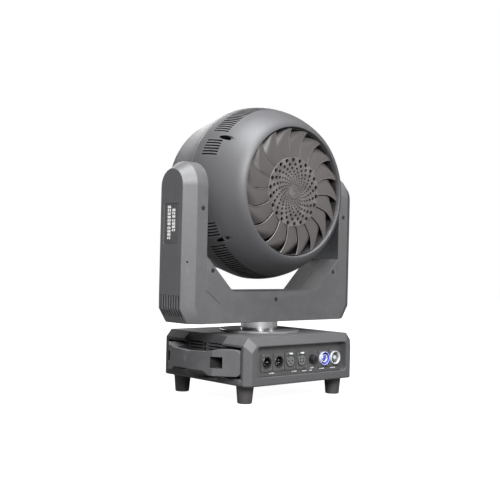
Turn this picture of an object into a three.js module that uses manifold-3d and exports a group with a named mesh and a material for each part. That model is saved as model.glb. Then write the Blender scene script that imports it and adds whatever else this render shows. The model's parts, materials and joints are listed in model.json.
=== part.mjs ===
// A moving head stage light: a base with handles and connectors, a yoke that pans on it, and a round
// head that tilts in the yoke. Millimetres, +Z up, rear (connectors and air grille) towards +Y.
// The origin is on the pan axis, level with the bottoms of the feet.
import * as THREE from "three";
import { ConvexGeometry } from "three/addons/geometries/ConvexGeometry.js";
import { mergeVertices } from "three/addons/utils/BufferGeometryUtils.js";
import Module from "manifold-3d";

const wasm = await Module();
wasm.setup();

// ---- Driving dimensions ----

const GAP = 0.3; // between pieces that touch
const REACH = 60; // how far a cutting tool runs past what it cuts
const OVERRUN = 1; // how far a short cut or a root runs past a face
const PIN_FACETS = 8; // facets round pins, and round small, middling, large and the largest circles
const COARSE = 12;
const MEDIUM = 20;
const FINE = 28;
const FINEST = 40;

// Base
const BASE_WIDTH = 265;
const BASE_DEPTH = 236;
const BASE_HEIGHT = 82; // from its bottom face to its top
const BASE_CORNER = 11; // upright corner chamfer
const BASE_TOP_INSET = 11; // how far the sloped edge round the top runs inwards
const BASE_SHOULDER_DROP = 13; // and how far it runs down
const FACET_DROP = 12; // lowest point of the cut corner facet, below the shoulder
const BASE_BOTTOM_CHAMFER = 2;
const BASE_WALL = 3.5;
const BOTTOM_PLATE_THICKNESS = 2.7;
const BRACKET_PAD_X = 60; // flat pads under the base for the two truss brackets
const BRACKET_PAD_WIDTH = 36;
const BRACKET_PAD_LENGTH = 140;
const BRACKET_PAD_HEIGHT = 1.5;

const FOOT_HEIGHT = 31;
const FOOT_TOP_RADIUS = 15.5;
const FOOT_BOTTOM_RADIUS = 12.5;
const FOOT_X = 108.7;
const FOOT_Y = 86.4;

// Recesses of the base
const PANEL_RECESS = 11; // front and rear, face to panel
const PANEL_THICKNESS = 2.4;
const PANEL_LOW = 14; // above the base's bottom face
const PANEL_HIGH = 67;
const PANEL_HALF_WIDTH = 110;
const PANEL_CORNER = 8;
const PANEL_LEDGE = 8; // the panel's seat, all round
const SIDE_RECESS = 10;
const POCKET_END = 100; // of the handle pockets, from the middle
const POCKET_LOW = 14;
const POCKET_HIGH = 64;
const NOTCH_HALF_LENGTH = 52; // the open hand notch between the pockets
const NOTCH_LOW = 5;
const WALL_SLOT_LENGTH = 36;
const WALL_SLOT_HEIGHT = 2.4;
const WALL_SLOT_PITCH = 5.4;
const WALL_SLOT_TOP = 65;

// Handles
const HANDLE_THICKNESS = 10;
const HANDLE_BOW = 35; // the grip's outer face, beyond the base's side
const HANDLE_SLOPE = 0.77; // of its ends, outwards per length
const HANDLE_RAMP = 38; // length of each sloped end
const HANDLE_END_CLEARANCE = 1.5;
const HANDLE_END_HIGH = 61; // above the base's bottom face
const HANDLE_END_LOW = 16;
const HANDLE_GRIP_HIGH = 54;
const HANDLE_GRIP_LOW = 23;
const HANDLE_HOLE = 19;
const HANDLE_HOLE_FROM_END = 33.5;
const HANDLE_SCREW_RADIUS = 2.25;

// Connectors, on the rear panel
const CONNECTOR_PITCH = 28;
const CONNECTOR_SHIFT = -4; // of the middle of the row
const CONNECTOR_HEIGHT = 38.5; // above the base's bottom face
const FLANGE_WIDTH = 26;
const FLANGE_HEIGHT = 31;
const FLANGE_THICKNESS = 1.8;
const FLANGE_CORNER = 3;
const BARREL_RADIUS = 11;
const BARREL_LENGTH = 20;
const DATA_BORE_RADIUS = 8.6;
const DATA_BORE_DEPTH = 13;
const DATA_PIN_RADIUS = 1.2;
const DATA_PIN_CIRCLE = 4.6;
const DATA_FACE_RADIUS = 10;
const LATCH_WIDTH = 6.5;
const LATCH_HEIGHT = 3;
const LATCH_ABOVE = 12.6; // over the connector's centre
const MAINS_RING_RADIUS = 12;
const MAINS_RING_WALL = 2.2;
const MAINS_RING_PROUD = 4;
const MAINS_POST_RADIUS = 5;
const FUSE_CAP_RADIUS = 7;
const FUSE_CAP_LENGTH = 7;
const FUSE_BODY_RADIUS = 6.4;

// Display, on the front panel
const DISPLAY_WIDTH = 74;
const DISPLAY_HEIGHT = 34;
const DISPLAY_X = -22;
const DISPLAY_ABOVE = 2; // over the middle of the connectors and buttons
const DISPLAY_CORNER = 3;
const DISPLAY_SUNK = 0.5;
const DISPLAY_DEPTH = 5.9;
const BUTTON_RADIUS = 5;
const BUTTON_PROUD = 2.6;
const BUTTON_EDGE = 0.8;
const BUTTON_PITCH = 15;
const BUTTON_X = 44; // of the middle of the four buttons

// Pan joint
const PAN_GAP = 20; // base top to yoke bottom
const TRIM_RADIUS = 74;
const TRIM_HEIGHT = 4;
const COLLAR_RADIUS = 34;
const TUBE_RADIUS = 26;
const TUBE_BORE = 20;
const TUBE_FLANGE_RADIUS = 48;
const TUBE_FLANGE_THICKNESS = 5;
const TUBE_TOP = 50; // above the yoke's bottom

// Yoke; its heights are above its own bottom face
const YOKE_HALF_DEPTH = 44;
const ARM_THICKNESS = 45; // inner face to outer face
const ARM_BEVEL = 21.5; // how far the bevel runs in from the outer face
const ARM_FLAT_HALF = 30; // half depth of the arm's outer flat
const ARM_SLANT_HIGH = 27; // the slant at the arm's foot
const ARM_SLANT_EDGE = 16; // how far it runs in
const CROSSBAR_HEIGHT = 55;
const GUSSET_RISE = 61;
const SEAM_INSET = 31; // of the seam between crossbar cover and arm cover, from the arm's inner face
const SEAM_LOW = 34;
const SEAM_HIGH = 57;
const COVER_WALL = 2.5;
const ARM_WALL = 3;
const FRAME_SHEET = 3;
const LABEL_WIDTH = 40;
const LABEL_HEIGHT = 69;
const LABEL_CENTRE = 169.5;
const LABEL_RECESS = 1.5;
const LABEL_THICKNESS = 0.9;
const ARM_VENTS = 8;
const ARM_VENT_PITCH = 7;
const ARM_VENT_WIDTH = 3;
const ARM_VENT_LOW = 12;
const ARM_VENT_HIGH = 48;

// Drives; a pulley's radius comes from its teeth
const BELT_PITCH = 3;
const BELT_THICKNESS = 2;
const PAN_TEETH = 72;
const PAN_MOTOR_TEETH = 20;
const TILT_TEETH = 54;
const TILT_MOTOR_TEETH = 18;
const PULLEY_WIDTH = 8;
const BELT_WIDTH = 6;
const PAN_PULLEY_LOW = 39; // above the yoke's bottom
const PAN_MOTOR_X = -100;
const MOTOR_SIZE = 56;
const MOTOR_SHAFT = 3;
const PAN_MOTOR_LENGTH = 30;
const TILT_MOTOR_LENGTH = 20;
const TILT_MOTOR_HEIGHT = 92; // above the yoke's bottom
const TILT_PULLEY_INSET = 20; // from the arm's outer face to the pulley's inner side
const BEARING_PAN_RADIUS = 36;
const BEARING_PAN_WIDTH = 12;
const BEARING_TILT_RADIUS = 20;
const BEARING_TILT_WIDTH = 7;
const BOARD_THICKNESS = 2;

// Head; its places are measured from the tilt axis
const HEAD_RADIUS = 158.8;
const HEAD_CLEARANCE = 5.2; // head to yoke arm
const HEAD_ABOVE_CROSSBAR = 20.2;
const HEAD_CENTRE_Y = -13; // of the round rear part
const HEAD_SEAM_Y = -20;
const HEAD_REAR_Y = 88;
const HEAD_WALL = 3;
const RIM_RADIUS = 115.5; // the opening round the grille
const RIM_LIP = 4;
// Stations of the front shell: the place, and the inset from the head's radius.
const FRONT_STATIONS = [[-50, 6.8], [-80, 12.8], [-100, 18.8]];
const BEZEL_DEPTH = 6;
const BEZEL_WIDTH = 13.5;
const TRUNNION_RADIUS = 12;
const TRUNNION_BOSS = 14;
const TRUNNION_HOLE = 16;
const HEAD_FRAME_INSET = 4.8; // inside the head radius
const HEAD_FRAME_WIDTH = 24;
const HEAD_FRAME_HALF = 5;
const SIDE_VENTS = 6; // slots in each of the four side groups
const SIDE_VENT_FIRST = 57; // degrees from the top
const SIDE_VENT_STEP = 2.1;
const SIDE_VENT_WIDTH = 2.7;
const SIDE_VENT_FRONT = 1;
const SIDE_VENT_REAR = 34;
const GRILLE_DISC = 60;
const GRILLE_RIM_WALL = 4;
const GRILLE_REAR = 84;
const GRILLE_DEPTH = 9;
const VANES = 18;
const VANE_THICKNESS = 2.6;
const VANE_SWEEP = 4.5; // degrees that the vane's outer end leads its root by, towards -X at the top
const VANE_DIP = 1.9; // how strongly it first leans the other way, as a share of the sweep
const HEATSINK_RADIUS = 110;
const HEATSINK_REAR = 36;
const FIN_PITCH = 16;
const FIN_THICKNESS = 3;
const FIN_RIM = 6; // how far the fins stop inside the heatsink's edge
const FAN_SIZE = 120;
const FAN_BORE = 57;
const FAN_FRONT = 42;
const FAN_DEPTH = 26;
const FAN_HUB = 20;
const FAN_BLADES = 7;
const LED_BOARD_RADIUS = 112;
const LED_BOARD_Y = -14;
const LED_SIZE = 12;
const LENS_PITCH = 47;
const LENS_PLATE_RADIUS = 123;
const LENS_PLATE_Y = -94;
const LENS_PLATE_THICKNESS = 5;
const LENS_PROUD = 4;
const ZOOM_SCREW_RADIUS = 3;
const ZOOM_MOTOR_SIZE = 28;
const ZOOM_MOTOR_REAR = -5.5;
const ZOOM_MOTOR_LENGTH = 25;

// ---- Values that follow from them ----

const BASE_TOP = FOOT_HEIGHT + BASE_HEIGHT;
const YOKE_BOTTOM = BASE_TOP + PAN_GAP;
const TILT_ABOVE_YOKE = CROSSBAR_HEIGHT + HEAD_ABOVE_CROSSBAR + HEAD_RADIUS;
const ARM_INNER = HEAD_RADIUS + HEAD_CLEARANCE;
const ARM_OUTER = ARM_INNER + ARM_THICKNESS;
const ARM_EDGE = ARM_OUTER - ARM_BEVEL; // where the rear face turns into the bevel
const SEAM_X = ARM_INNER - SEAM_INSET;
const TILT_PULLEY_X = ARM_OUTER - TILT_PULLEY_INSET;
const FRONT_OUTLINE = FRONT_STATIONS.map(([y, inset]) => [HEAD_RADIUS - inset, y]);
const BEZEL_INNER = FRONT_OUTLINE.at(-1)[0] - BEZEL_WIDTH;
const HEAD_FRAME_OUTER = HEAD_RADIUS - HEAD_FRAME_INSET;
const HEAD_FRAME_INNER = HEAD_FRAME_OUTER - HEAD_FRAME_WIDTH;
const ZOOM_SCREW_Z = HEAD_FRAME_INNER;
const TILT_HEIGHT = YOKE_BOTTOM + TILT_ABOVE_YOKE;
const HALF_WIDTH = BASE_WIDTH / 2;
const HALF_DEPTH = BASE_DEPTH / 2;
const PANEL_FACE = HALF_DEPTH - PANEL_RECESS;
const LEDGE_FACE = PANEL_FACE - PANEL_THICKNESS - GAP;
const RECESS_FACE = HALF_WIDTH - SIDE_RECESS;
const FLANGE_FACE = PANEL_FACE + GAP + FLANGE_THICKNESS;
const ARM_SIDES = [["left", 1], ["right", -1]];

// ---- Shape helpers ----

/** The places of `count` things, `pitch` apart, about zero. */
const row = (count, pitch) => Array.from({ length: count }, (_, i) => (i - (count - 1) / 2) * pitch);

/** The middle places of a hexagonal field: one, six round it and twelve round those. */
function lensField(pitch) {
  const places = [];
  for (let q = -2; q <= 2; q++) {
    for (let r = -2; r <= 2; r++) {
      if (Math.abs(q + r) > 2) continue;
      places.push([pitch * (q + r / 2), pitch * r * Math.sqrt(3) / 2]);
    }
  }
  return places;
}

/** A manifold-3d solid from a closed three.js geometry. */
function solid(geometry) {
  const bare = geometry.index ? geometry.toNonIndexed() : geometry.clone();
  bare.deleteAttribute("normal");
  bare.deleteAttribute("uv");
  const merged = mergeVertices(bare, 1e-4);
  return new wasm.Manifold(new wasm.Mesh({
    numProp: 3,
    vertProperties: merged.attributes.position.array,
    triVerts: new Uint32Array(merged.index.array),
  }));
}

/** A three.js geometry from a manifold-3d solid. */
function geometryOf(body) {
  const { vertProperties, triVerts } = body.getMesh();
  const geometry = new THREE.BufferGeometry();
  geometry.setAttribute("position", new THREE.BufferAttribute(vertProperties, 3));
  geometry.setIndex(new THREE.BufferAttribute(triVerts, 1));
  geometry.computeVertexNormals();
  return geometry;
}

/** A box from its two ends along each axis. */
function box([x0, x1], [y0, y1], [z0, z1]) {
  const geometry = new THREE.BoxGeometry(x1 - x0, y1 - y0, z1 - z0);
  return solid(geometry.translate((x0 + x1) / 2, (y0 + y1) / 2, (z0 + z1) / 2));
}

/** A convex solid round a list of points. */
const convex = (points) => solid(new ConvexGeometry(points.map((p) => new THREE.Vector3(...p))));

/** The matrix that turns an outline's plane so that its first, second and third axes point as given. */
const basis = (...axes) => new THREE.Matrix4().makeBasis(...axes.map((a) => new THREE.Vector3(...a)));

const AXES = {
  x: basis([0, 1, 0], [0, 0, 1], [1, 0, 0]),
  y: basis([1, 0, 0], [0, 0, 1], [0, -1, 0]),
  z: basis([1, 0, 0], [0, 1, 0], [0, 0, 1]),
};

/** An outline, in the plane across `axis`, extruded from one place on that axis to another. */
function prism(outline, axis, [from, to]) {
  const shape = outline instanceof THREE.Shape
    ? outline
    : new THREE.Shape(outline.map(([u, v]) => new THREE.Vector2(u, v)));
  const geometry = new THREE.ExtrudeGeometry(shape, { depth: to - from, bevelEnabled: false });
  geometry.applyMatrix4(AXES[axis]);
  const start = axis === "y" ? to : from;
  const place = { x: 0, y: 0, z: 0, [axis]: start };
  return solid(geometry.translate(place.x, place.y, place.z));
}

/** A profile of [radius, place on the axis], turned round `axis` through `centre`. */
function turned(profile, axis, [cx, cy, cz] = [0, 0, 0], segments = MEDIUM) {
  const points = profile.map(([r, h]) => new THREE.Vector2(r, h));
  const onAxis = profile[0][0] === 0 && profile.at(-1)[0] === 0;
  if (THREE.ShapeUtils.isClockWise(points)) points.reverse();
  if (!onAxis) points.push(points[0].clone());
  const geometry = new THREE.LatheGeometry(points, segments);
  if (axis === "z") geometry.rotateX(Math.PI / 2);
  if (axis === "x") geometry.rotateZ(-Math.PI / 2);
  return solid(geometry.translate(cx, cy, cz));
}

const rod = (radius, axis, [from, to], centre, segments) =>
  turned([[0, from], [radius, from], [radius, to], [0, to]], axis, centre, segments);

const ring = (inner, outer, axis, [from, to], centre, segments) =>
  turned([[inner, from], [outer, from], [outer, to], [inner, to]], axis, centre, segments);

/** A rectangle with round corners, as an outline. */
function roundedRectangle([u0, u1], [v0, v1], radius, steps = 4) {
  const points = [];
  const corners = [[u1, v1, 0], [u0, v1, 1], [u0, v0, 2], [u1, v0, 3]];
  for (const [u, v, quarter] of corners) {
    const cu = u === u1 ? u1 - radius : u0 + radius;
    const cv = v === v1 ? v1 - radius : v0 + radius;
    for (let i = 0; i <= steps; i++) {
      const angle = (quarter + i / steps) * Math.PI / 2;
      points.push([cu + radius * Math.cos(angle), cv + radius * Math.sin(angle)]);
    }
  }
  return points;
}

/** Adds one piece to a group as its own named mesh. */
function add(group, name, body, finish) {
  const mesh = new THREE.Mesh(geometryOf(body), finish);
  mesh.name = name;
  group.add(mesh);
}

// ---- Finishes ----

const finish = (color, roughness, metalness) => new THREE.MeshStandardMaterial({ color, roughness, metalness });
const casing = finish(0x4b4b4e, 0.6, 0.1);
const panelBlack = finish(0x3c3c3f, 0.5, 0.2);
const rubber = finish(0x2f2f31, 0.9, 0);
const blackPlastic = finish(0x151516, 0.5, 0);
const bluePlastic = finish(0x6a74d8, 0.4, 0);
const whitePlastic = finish(0xdde3e3, 0.4, 0);
const chrome = finish(0xc8cacc, 0.2, 1);
const steel = finish(0x8d9094, 0.4, 0.9);
const aluminium = finish(0xb4b7ba, 0.45, 0.8);
const board = finish(0x1d5a35, 0.6, 0.1);
const glass = finish(0x10141a, 0.1, 0);
const lensGlass = finish(0xdfe6ea, 0.08, 0);

// ---- Base ----

/** The base's outer form: a box with chamfered corners, a sloped edge round its top and cut facets. */
function baseForm() {
  const t = BASE_TOP_INSET;
  const shoulder = BASE_TOP - BASE_SHOULDER_DROP;
  const toSide = new THREE.Vector3(t, t - BASE_CORNER, -BASE_SHOULDER_DROP);
  const toFoot = new THREE.Vector3(t - BASE_CORNER, t, -BASE_SHOULDER_DROP - FACET_DROP);
  const facet = toSide.cross(toFoot);
  const facetRun = (facet.y * t - facet.z * BASE_SHOULDER_DROP) / facet.x;
  const low = FOOT_HEIGHT + BASE_BOTTOM_CHAMFER;
  const inset = BASE_BOTTOM_CHAMFER;
  const corner = [
    [HALF_WIDTH, HALF_DEPTH - BASE_CORNER, low],
    [HALF_WIDTH, HALF_DEPTH - BASE_CORNER, shoulder],
    [HALF_WIDTH - BASE_CORNER, HALF_DEPTH, low],
    [HALF_WIDTH - BASE_CORNER, HALF_DEPTH, shoulder - FACET_DROP],
    [HALF_WIDTH - t - facetRun, HALF_DEPTH, shoulder],
    [HALF_WIDTH - t, HALF_DEPTH - t, BASE_TOP],
    [HALF_WIDTH - inset, HALF_DEPTH - BASE_CORNER, FOOT_HEIGHT],
    [HALF_WIDTH - BASE_CORNER, HALF_DEPTH - inset, FOOT_HEIGHT],
  ];
  const corners = [[1, 1], [-1, 1], [-1, -1], [1, -1]];
  return convex(corners.flatMap(([sx, sy]) => corner.map(([x, y, z]) => [sx * x, sy * y, z])));
}

/** The bottom plate's outline, `inset` inside the base's sides. */
function bottomOutline(inset) {
  const x = HALF_WIDTH - inset;
  const y = HALF_DEPTH - inset;
  const c = BASE_CORNER;
  return [[x, y - c], [x - c, y], [-x + c, y], [-x, y - c], [-x, -y + c], [-x + c, -y], [x - c, -y], [x, -y + c]];
}

/** The outline of a recess for a panel, on the front or the rear, `inset` inside its edge. */
const panelOutline = (inset) => roundedRectangle(
  [-PANEL_HALF_WIDTH + inset, PANEL_HALF_WIDTH - inset],
  [FOOT_HEIGHT + PANEL_LOW + inset, FOOT_HEIGHT + PANEL_HIGH - inset],
  Math.max(PANEL_CORNER - inset, 1),
);

/** What is cut from one side of the base for its handle: pockets, hand notch and vent slots. */
function sideCuts(side) {
  const span = (from, to) => side > 0 ? [from, to] : [-to, -from];
  const outwards = span(RECESS_FACE, HALF_WIDTH + REACH);
  const pocketHeight = [FOOT_HEIGHT + POCKET_LOW, FOOT_HEIGHT + POCKET_HIGH];
  const pockets = box(outwards, [-POCKET_END, POCKET_END], pocketHeight);
  const notchHeight = [FOOT_HEIGHT + NOTCH_LOW, BASE_TOP + REACH];
  const notch = box(outwards, [-NOTCH_HALF_LENGTH, NOTCH_HALF_LENGTH], notchHeight);
  const slots = [];
  for (const middle of [-30, 20]) {
    for (let i = 0; i < 3; i++) {
      const z = FOOT_HEIGHT + WALL_SLOT_TOP - i * WALL_SLOT_PITCH;
      slots.push(box(
        span(RECESS_FACE - 2 * BASE_WALL, HALF_WIDTH),
        [middle - WALL_SLOT_LENGTH / 2, middle + WALL_SLOT_LENGTH / 2],
        [z - WALL_SLOT_HEIGHT / 2, z + WALL_SLOT_HEIGHT / 2],
      ));
    }
  }
  return [pockets, notch, ...slots];
}

function baseHousing() {
  const cavityX = RECESS_FACE - BASE_WALL;
  const cavityY = LEDGE_FACE - BASE_WALL;
  const window = panelOutline(PANEL_LEDGE);
  return baseForm().subtract(wasm.Manifold.union([
    box([-cavityX, cavityX], [-cavityY, cavityY], [FOOT_HEIGHT - 1, BASE_TOP - BASE_WALL]),
    prism(bottomOutline(BASE_WALL), "z", [FOOT_HEIGHT - 1, FOOT_HEIGHT + BOTTOM_PLATE_THICKNESS + GAP]),
    prism(panelOutline(0), "y", [LEDGE_FACE, HALF_DEPTH + 1]),
    prism(panelOutline(0), "y", [-HALF_DEPTH - 1, -LEDGE_FACE]),
    prism(window, "y", [-HALF_DEPTH, HALF_DEPTH]),
    rod(COLLAR_RADIUS + GAP, "z", [BASE_TOP - 2 * BASE_WALL, BASE_TOP + 1], undefined, FINE),
    ...sideCuts(1),
    ...sideCuts(-1),
  ]));
}

/** The steel floor of the base, with two raised pads that the truss brackets lie on. */
function bottomPlate() {
  const plate = prism(bottomOutline(BASE_WALL + GAP), "z", [FOOT_HEIGHT, FOOT_HEIGHT + BOTTOM_PLATE_THICKNESS]);
  const pads = [-BRACKET_PAD_X, BRACKET_PAD_X].map((x) => box(
    [x - BRACKET_PAD_WIDTH / 2, x + BRACKET_PAD_WIDTH / 2],
    [-BRACKET_PAD_LENGTH / 2, BRACKET_PAD_LENGTH / 2],
    [FOOT_HEIGHT - BRACKET_PAD_HEIGHT, FOOT_HEIGHT + BOTTOM_PLATE_THICKNESS],
  ));
  return wasm.Manifold.union([plate, ...pads]);
}

function foot(sx, sy) {
  const top = FOOT_HEIGHT - GAP;
  return turned([
    [0, 0],
    [FOOT_BOTTOM_RADIUS - 1.2, 0],
    [FOOT_BOTTOM_RADIUS, 1.2],
    [FOOT_TOP_RADIUS, top],
    [0, top],
  ], "z", [sx * FOOT_X, sy * FOOT_Y, 0], COARSE);
}

/** A bowed grip with sloped solid ends, which sit in the side pockets. */
function handle(side) {
  const end = POCKET_END - HANDLE_END_CLEARANCE;
  const inner = RECESS_FACE + GAP;
  const ramp = HALF_WIDTH + HANDLE_RAMP * HANDLE_SLOPE;
  const crown = HALF_WIDTH + HANDLE_BOW;
  const half = [
    [HALF_WIDTH, end],
    [ramp, end - HANDLE_RAMP],
    [(ramp + 2 * crown) / 3, (end - HANDLE_RAMP) * 0.58],
    [crown, (end - HANDLE_RAMP) * 0.2],
  ];
  const innerHalf = [
    [crown - HANDLE_THICKNESS, (end - HANDLE_RAMP) * 0.3],
    [ramp - HANDLE_THICKNESS / 2, NOTCH_HALF_LENGTH - 9],
    [inner, NOTCH_HALF_LENGTH + 4],
    [inner, end],
  ];
  const upper = [...half, ...half.map(([x, y]) => [x, -y]).reverse()];
  const lower = [...innerHalf.map(([x, y]) => [x, -y]).reverse(), ...innerHalf];
  // The outer line runs down to the far end, then the inner line runs back up.
  const plan = [...upper, ...lower].map(([x, y]) => [side * x, y]);
  const z = (height) => FOOT_HEIGHT + height;
  const gripEnd = NOTCH_HALF_LENGTH - 8;
  const profile = [
    [end, z(HANDLE_END_LOW)], [end, z(HANDLE_END_HIGH)], [end - 30, z(HANDLE_END_HIGH)],
    [gripEnd, z(HANDLE_GRIP_HIGH) + 2], [0, z(HANDLE_GRIP_HIGH)],
    [-gripEnd, z(HANDLE_GRIP_HIGH) + 2], [-end + 30, z(HANDLE_END_HIGH)], [-end, z(HANDLE_END_HIGH)],
    [-end, z(HANDLE_END_LOW)], [-NOTCH_HALF_LENGTH, z(HANDLE_END_LOW)], [-gripEnd + 4, z(HANDLE_GRIP_LOW)],
    [gripEnd - 4, z(HANDLE_GRIP_LOW)], [NOTCH_HALF_LENGTH, z(HANDLE_END_LOW)],
  ];
  const span = (from, to) => side > 0 ? [from, to] : [-to, -from];
  const middle = z((HANDLE_END_LOW + HANDLE_END_HIGH) / 2);
  const body = prism(plan, "z", [z(0), z(BASE_HEIGHT)]).intersect(prism(profile, "x", span(inner - 1, crown + 1)));
  const holes = [1, -1].flatMap((sy) => {
    const y = sy * (end - HANDLE_HOLE_FROM_END);
    return [
      box(span(HALF_WIDTH, crown + REACH), [y - HANDLE_HOLE / 2, y + HANDLE_HOLE / 2],
        [middle - HANDLE_HOLE / 2, middle + HANDLE_HOLE / 2]),
      rod(HANDLE_SCREW_RADIUS, "x", span(inner - OVERRUN, crown), [0, y, middle], COARSE),
    ];
  });
  return body.subtract(wasm.Manifold.union(holes));
}

const connectorX = (index) => (3 - index) * CONNECTOR_PITCH + CONNECTOR_SHIFT;
const FUSE_PLACE = 4; // of the seven places in the row
const CONNECTOR_Z = FOOT_HEIGHT + CONNECTOR_HEIGHT;

/** The mounting flange and the barrel behind it that connectors share. */
function connectorBody(x) {
  const flange = prism(roundedRectangle(
    [x - FLANGE_WIDTH / 2, x + FLANGE_WIDTH / 2],
    [CONNECTOR_Z - FLANGE_HEIGHT / 2, CONNECTOR_Z + FLANGE_HEIGHT / 2], FLANGE_CORNER, 3,
  ), "y", [PANEL_FACE + GAP, FLANGE_FACE]);
  const barrel = rod(BARREL_RADIUS, "y", [PANEL_FACE - BARREL_LENGTH, FLANGE_FACE], [x, 0, CONNECTOR_Z]);
  return flange.add(barrel);
}

/** Places of the contacts, on a circle, open at the top. */
const contacts = (x, count) => Array.from({ length: count }, (_, i) => {
  const angle = count === 3 ? Math.PI * (1 + i / 2) : Math.PI * (0.85 + 1.3 * i / (count - 1));
  return [x + DATA_PIN_CIRCLE * Math.cos(angle), 0, CONNECTOR_Z + DATA_PIN_CIRCLE * Math.sin(angle)];
});

function dataInput(x, pins) {
  const floor = FLANGE_FACE - DATA_BORE_DEPTH;
  const bore = rod(DATA_BORE_RADIUS, "y", [floor, FLANGE_FACE + 1], [x, 0, CONNECTOR_Z]);
  const stems = contacts(x, pins).map((place) =>
    rod(DATA_PIN_RADIUS, "y", [floor - 1, FLANGE_FACE - 1.5], place, PIN_FACETS));
  return connectorBody(x).subtract(bore).add(wasm.Manifold.union(stems));
}

function dataOutput(x, pins) {
  const face = rod(DATA_FACE_RADIUS, "y", [PANEL_FACE, FLANGE_FACE + 1], [x, 0, CONNECTOR_Z]);
  const holes = contacts(x, pins).map((place) =>
    rod(DATA_PIN_RADIUS + 0.2, "y", [FLANGE_FACE - DATA_BORE_DEPTH, FLANGE_FACE + 2], place, PIN_FACETS));
  const latchWay = box(
    [x - LATCH_WIDTH / 2 - GAP, x + LATCH_WIDTH / 2 + GAP],
    [PANEL_FACE - BARREL_LENGTH, FLANGE_FACE + 2],
    [CONNECTOR_Z + LATCH_ABOVE - LATCH_HEIGHT / 2 - GAP, CONNECTOR_Z + LATCH_ABOVE + LATCH_HEIGHT / 2 + GAP],
  );
  return connectorBody(x).add(face).subtract(wasm.Manifold.union([...holes, latchWay]));
}

const latchTab = (x) => box(
  [x - LATCH_WIDTH / 2, x + LATCH_WIDTH / 2],
  [PANEL_FACE - 5, FLANGE_FACE + 3],
  [CONNECTOR_Z + LATCH_ABOVE - LATCH_HEIGHT / 2, CONNECTOR_Z + LATCH_ABOVE + LATCH_HEIGHT / 2],
);

function mainsSocket(x) {
  const top = FLANGE_FACE + MAINS_RING_PROUD;
  const centre = [x, 0, CONNECTOR_Z];
  const floor = FLANGE_FACE - DATA_BORE_DEPTH;
  const outer = rod(MAINS_RING_RADIUS, "y", [PANEL_FACE + GAP, top], centre, MEDIUM);
  const bore = rod(MAINS_RING_RADIUS - MAINS_RING_WALL, "y", [floor, top + 1], centre, MEDIUM);
  const post = rod(MAINS_POST_RADIUS, "y", [floor - 1, top - 1], centre, COARSE);
  const slot = box([x - 1, x + 1], [floor, top], [CONNECTOR_Z - 3, CONNECTOR_Z + 3]);
  return connectorBody(x).add(outer).subtract(bore).add(post).subtract(slot);
}

const fuseHolder = (x) => rod(FUSE_CAP_RADIUS + 1.5, "y", [PANEL_FACE + GAP, FLANGE_FACE], [x, 0, CONNECTOR_Z])
  .add(rod(FUSE_BODY_RADIUS, "y", [PANEL_FACE - BARREL_LENGTH, FLANGE_FACE], [x, 0, CONNECTOR_Z]));

function fuseCap(x) {
  const low = FLANGE_FACE + GAP;
  const knob = turned([
    [0, low], [FUSE_CAP_RADIUS, low], [FUSE_CAP_RADIUS - 0.8, low + FUSE_CAP_LENGTH], [0, low + FUSE_CAP_LENGTH],
  ], "y", [x, 0, CONNECTOR_Z], COARSE);
  const slot = box([x - 0.8, x + 0.8], [low + FUSE_CAP_LENGTH - 2, low + FUSE_CAP_LENGTH + 1],
    [CONNECTOR_Z - 5, CONNECTOR_Z + 5]);
  return knob.subtract(slot);
}

function connectorPanel() {
  const plate = prism(panelOutline(GAP), "y", [PANEL_FACE - PANEL_THICKNESS, PANEL_FACE]);
  const through = [PANEL_FACE - PANEL_THICKNESS - OVERRUN, PANEL_FACE + OVERRUN];
  const holes = Array.from({ length: 7 }, (_, i) => {
    const radius = i === FUSE_PLACE ? FUSE_BODY_RADIUS : BARREL_RADIUS;
    return rod(radius + GAP, "y", through, [connectorX(i), 0, CONNECTOR_Z]);
  });
  const latchWays = [2, 3].map((i) => box(
    [connectorX(i) - LATCH_WIDTH / 2 - GAP, connectorX(i) + LATCH_WIDTH / 2 + GAP],
    through,
    [CONNECTOR_Z, CONNECTOR_Z + LATCH_ABOVE + LATCH_HEIGHT / 2 + GAP],
  ));
  return plate.subtract(wasm.Manifold.union([...holes, ...latchWays]));
}

const displaySpan = (inset) => [
  [DISPLAY_X - DISPLAY_WIDTH / 2 + inset, DISPLAY_X + DISPLAY_WIDTH / 2 - inset],
  [
    CONNECTOR_Z + DISPLAY_ABOVE - DISPLAY_HEIGHT / 2 + inset,
    CONNECTOR_Z + DISPLAY_ABOVE + DISPLAY_HEIGHT / 2 - inset,
  ],
];
const buttonX = (index) => BUTTON_X + (index - 1.5) * BUTTON_PITCH;

function displayBezel() {
  const [x, z] = displaySpan(0);
  const through = [-PANEL_FACE - OVERRUN, -PANEL_FACE + PANEL_THICKNESS + OVERRUN];
  const opening = prism(roundedRectangle(x, z, DISPLAY_CORNER), "y", through);
  const holes = [0, 1, 2, 3].map((i) =>
    rod(BUTTON_RADIUS + GAP, "y", through, [buttonX(i), 0, CONNECTOR_Z], COARSE));
  return prism(panelOutline(GAP), "y", [-PANEL_FACE, -PANEL_FACE + PANEL_THICKNESS])
    .subtract(wasm.Manifold.union([opening, ...holes]));
}

function displayWindow() {
  const [x, z] = displaySpan(GAP);
  const face = -PANEL_FACE + DISPLAY_SUNK;
  return prism(roundedRectangle(x, z, DISPLAY_CORNER - GAP), "y", [face, face + DISPLAY_DEPTH]);
}

function menuButton(index) {
  const front = -PANEL_FACE - BUTTON_PROUD;
  const rear = -PANEL_FACE + PANEL_THICKNESS + OVERRUN;
  return turned([
    [0, front], [BUTTON_RADIUS - BUTTON_EDGE, front], [BUTTON_RADIUS, front + BUTTON_EDGE],
    [BUTTON_RADIUS, rear], [0, rear],
  ], "y", [buttonX(index), 0, CONNECTOR_Z], COARSE);
}

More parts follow.
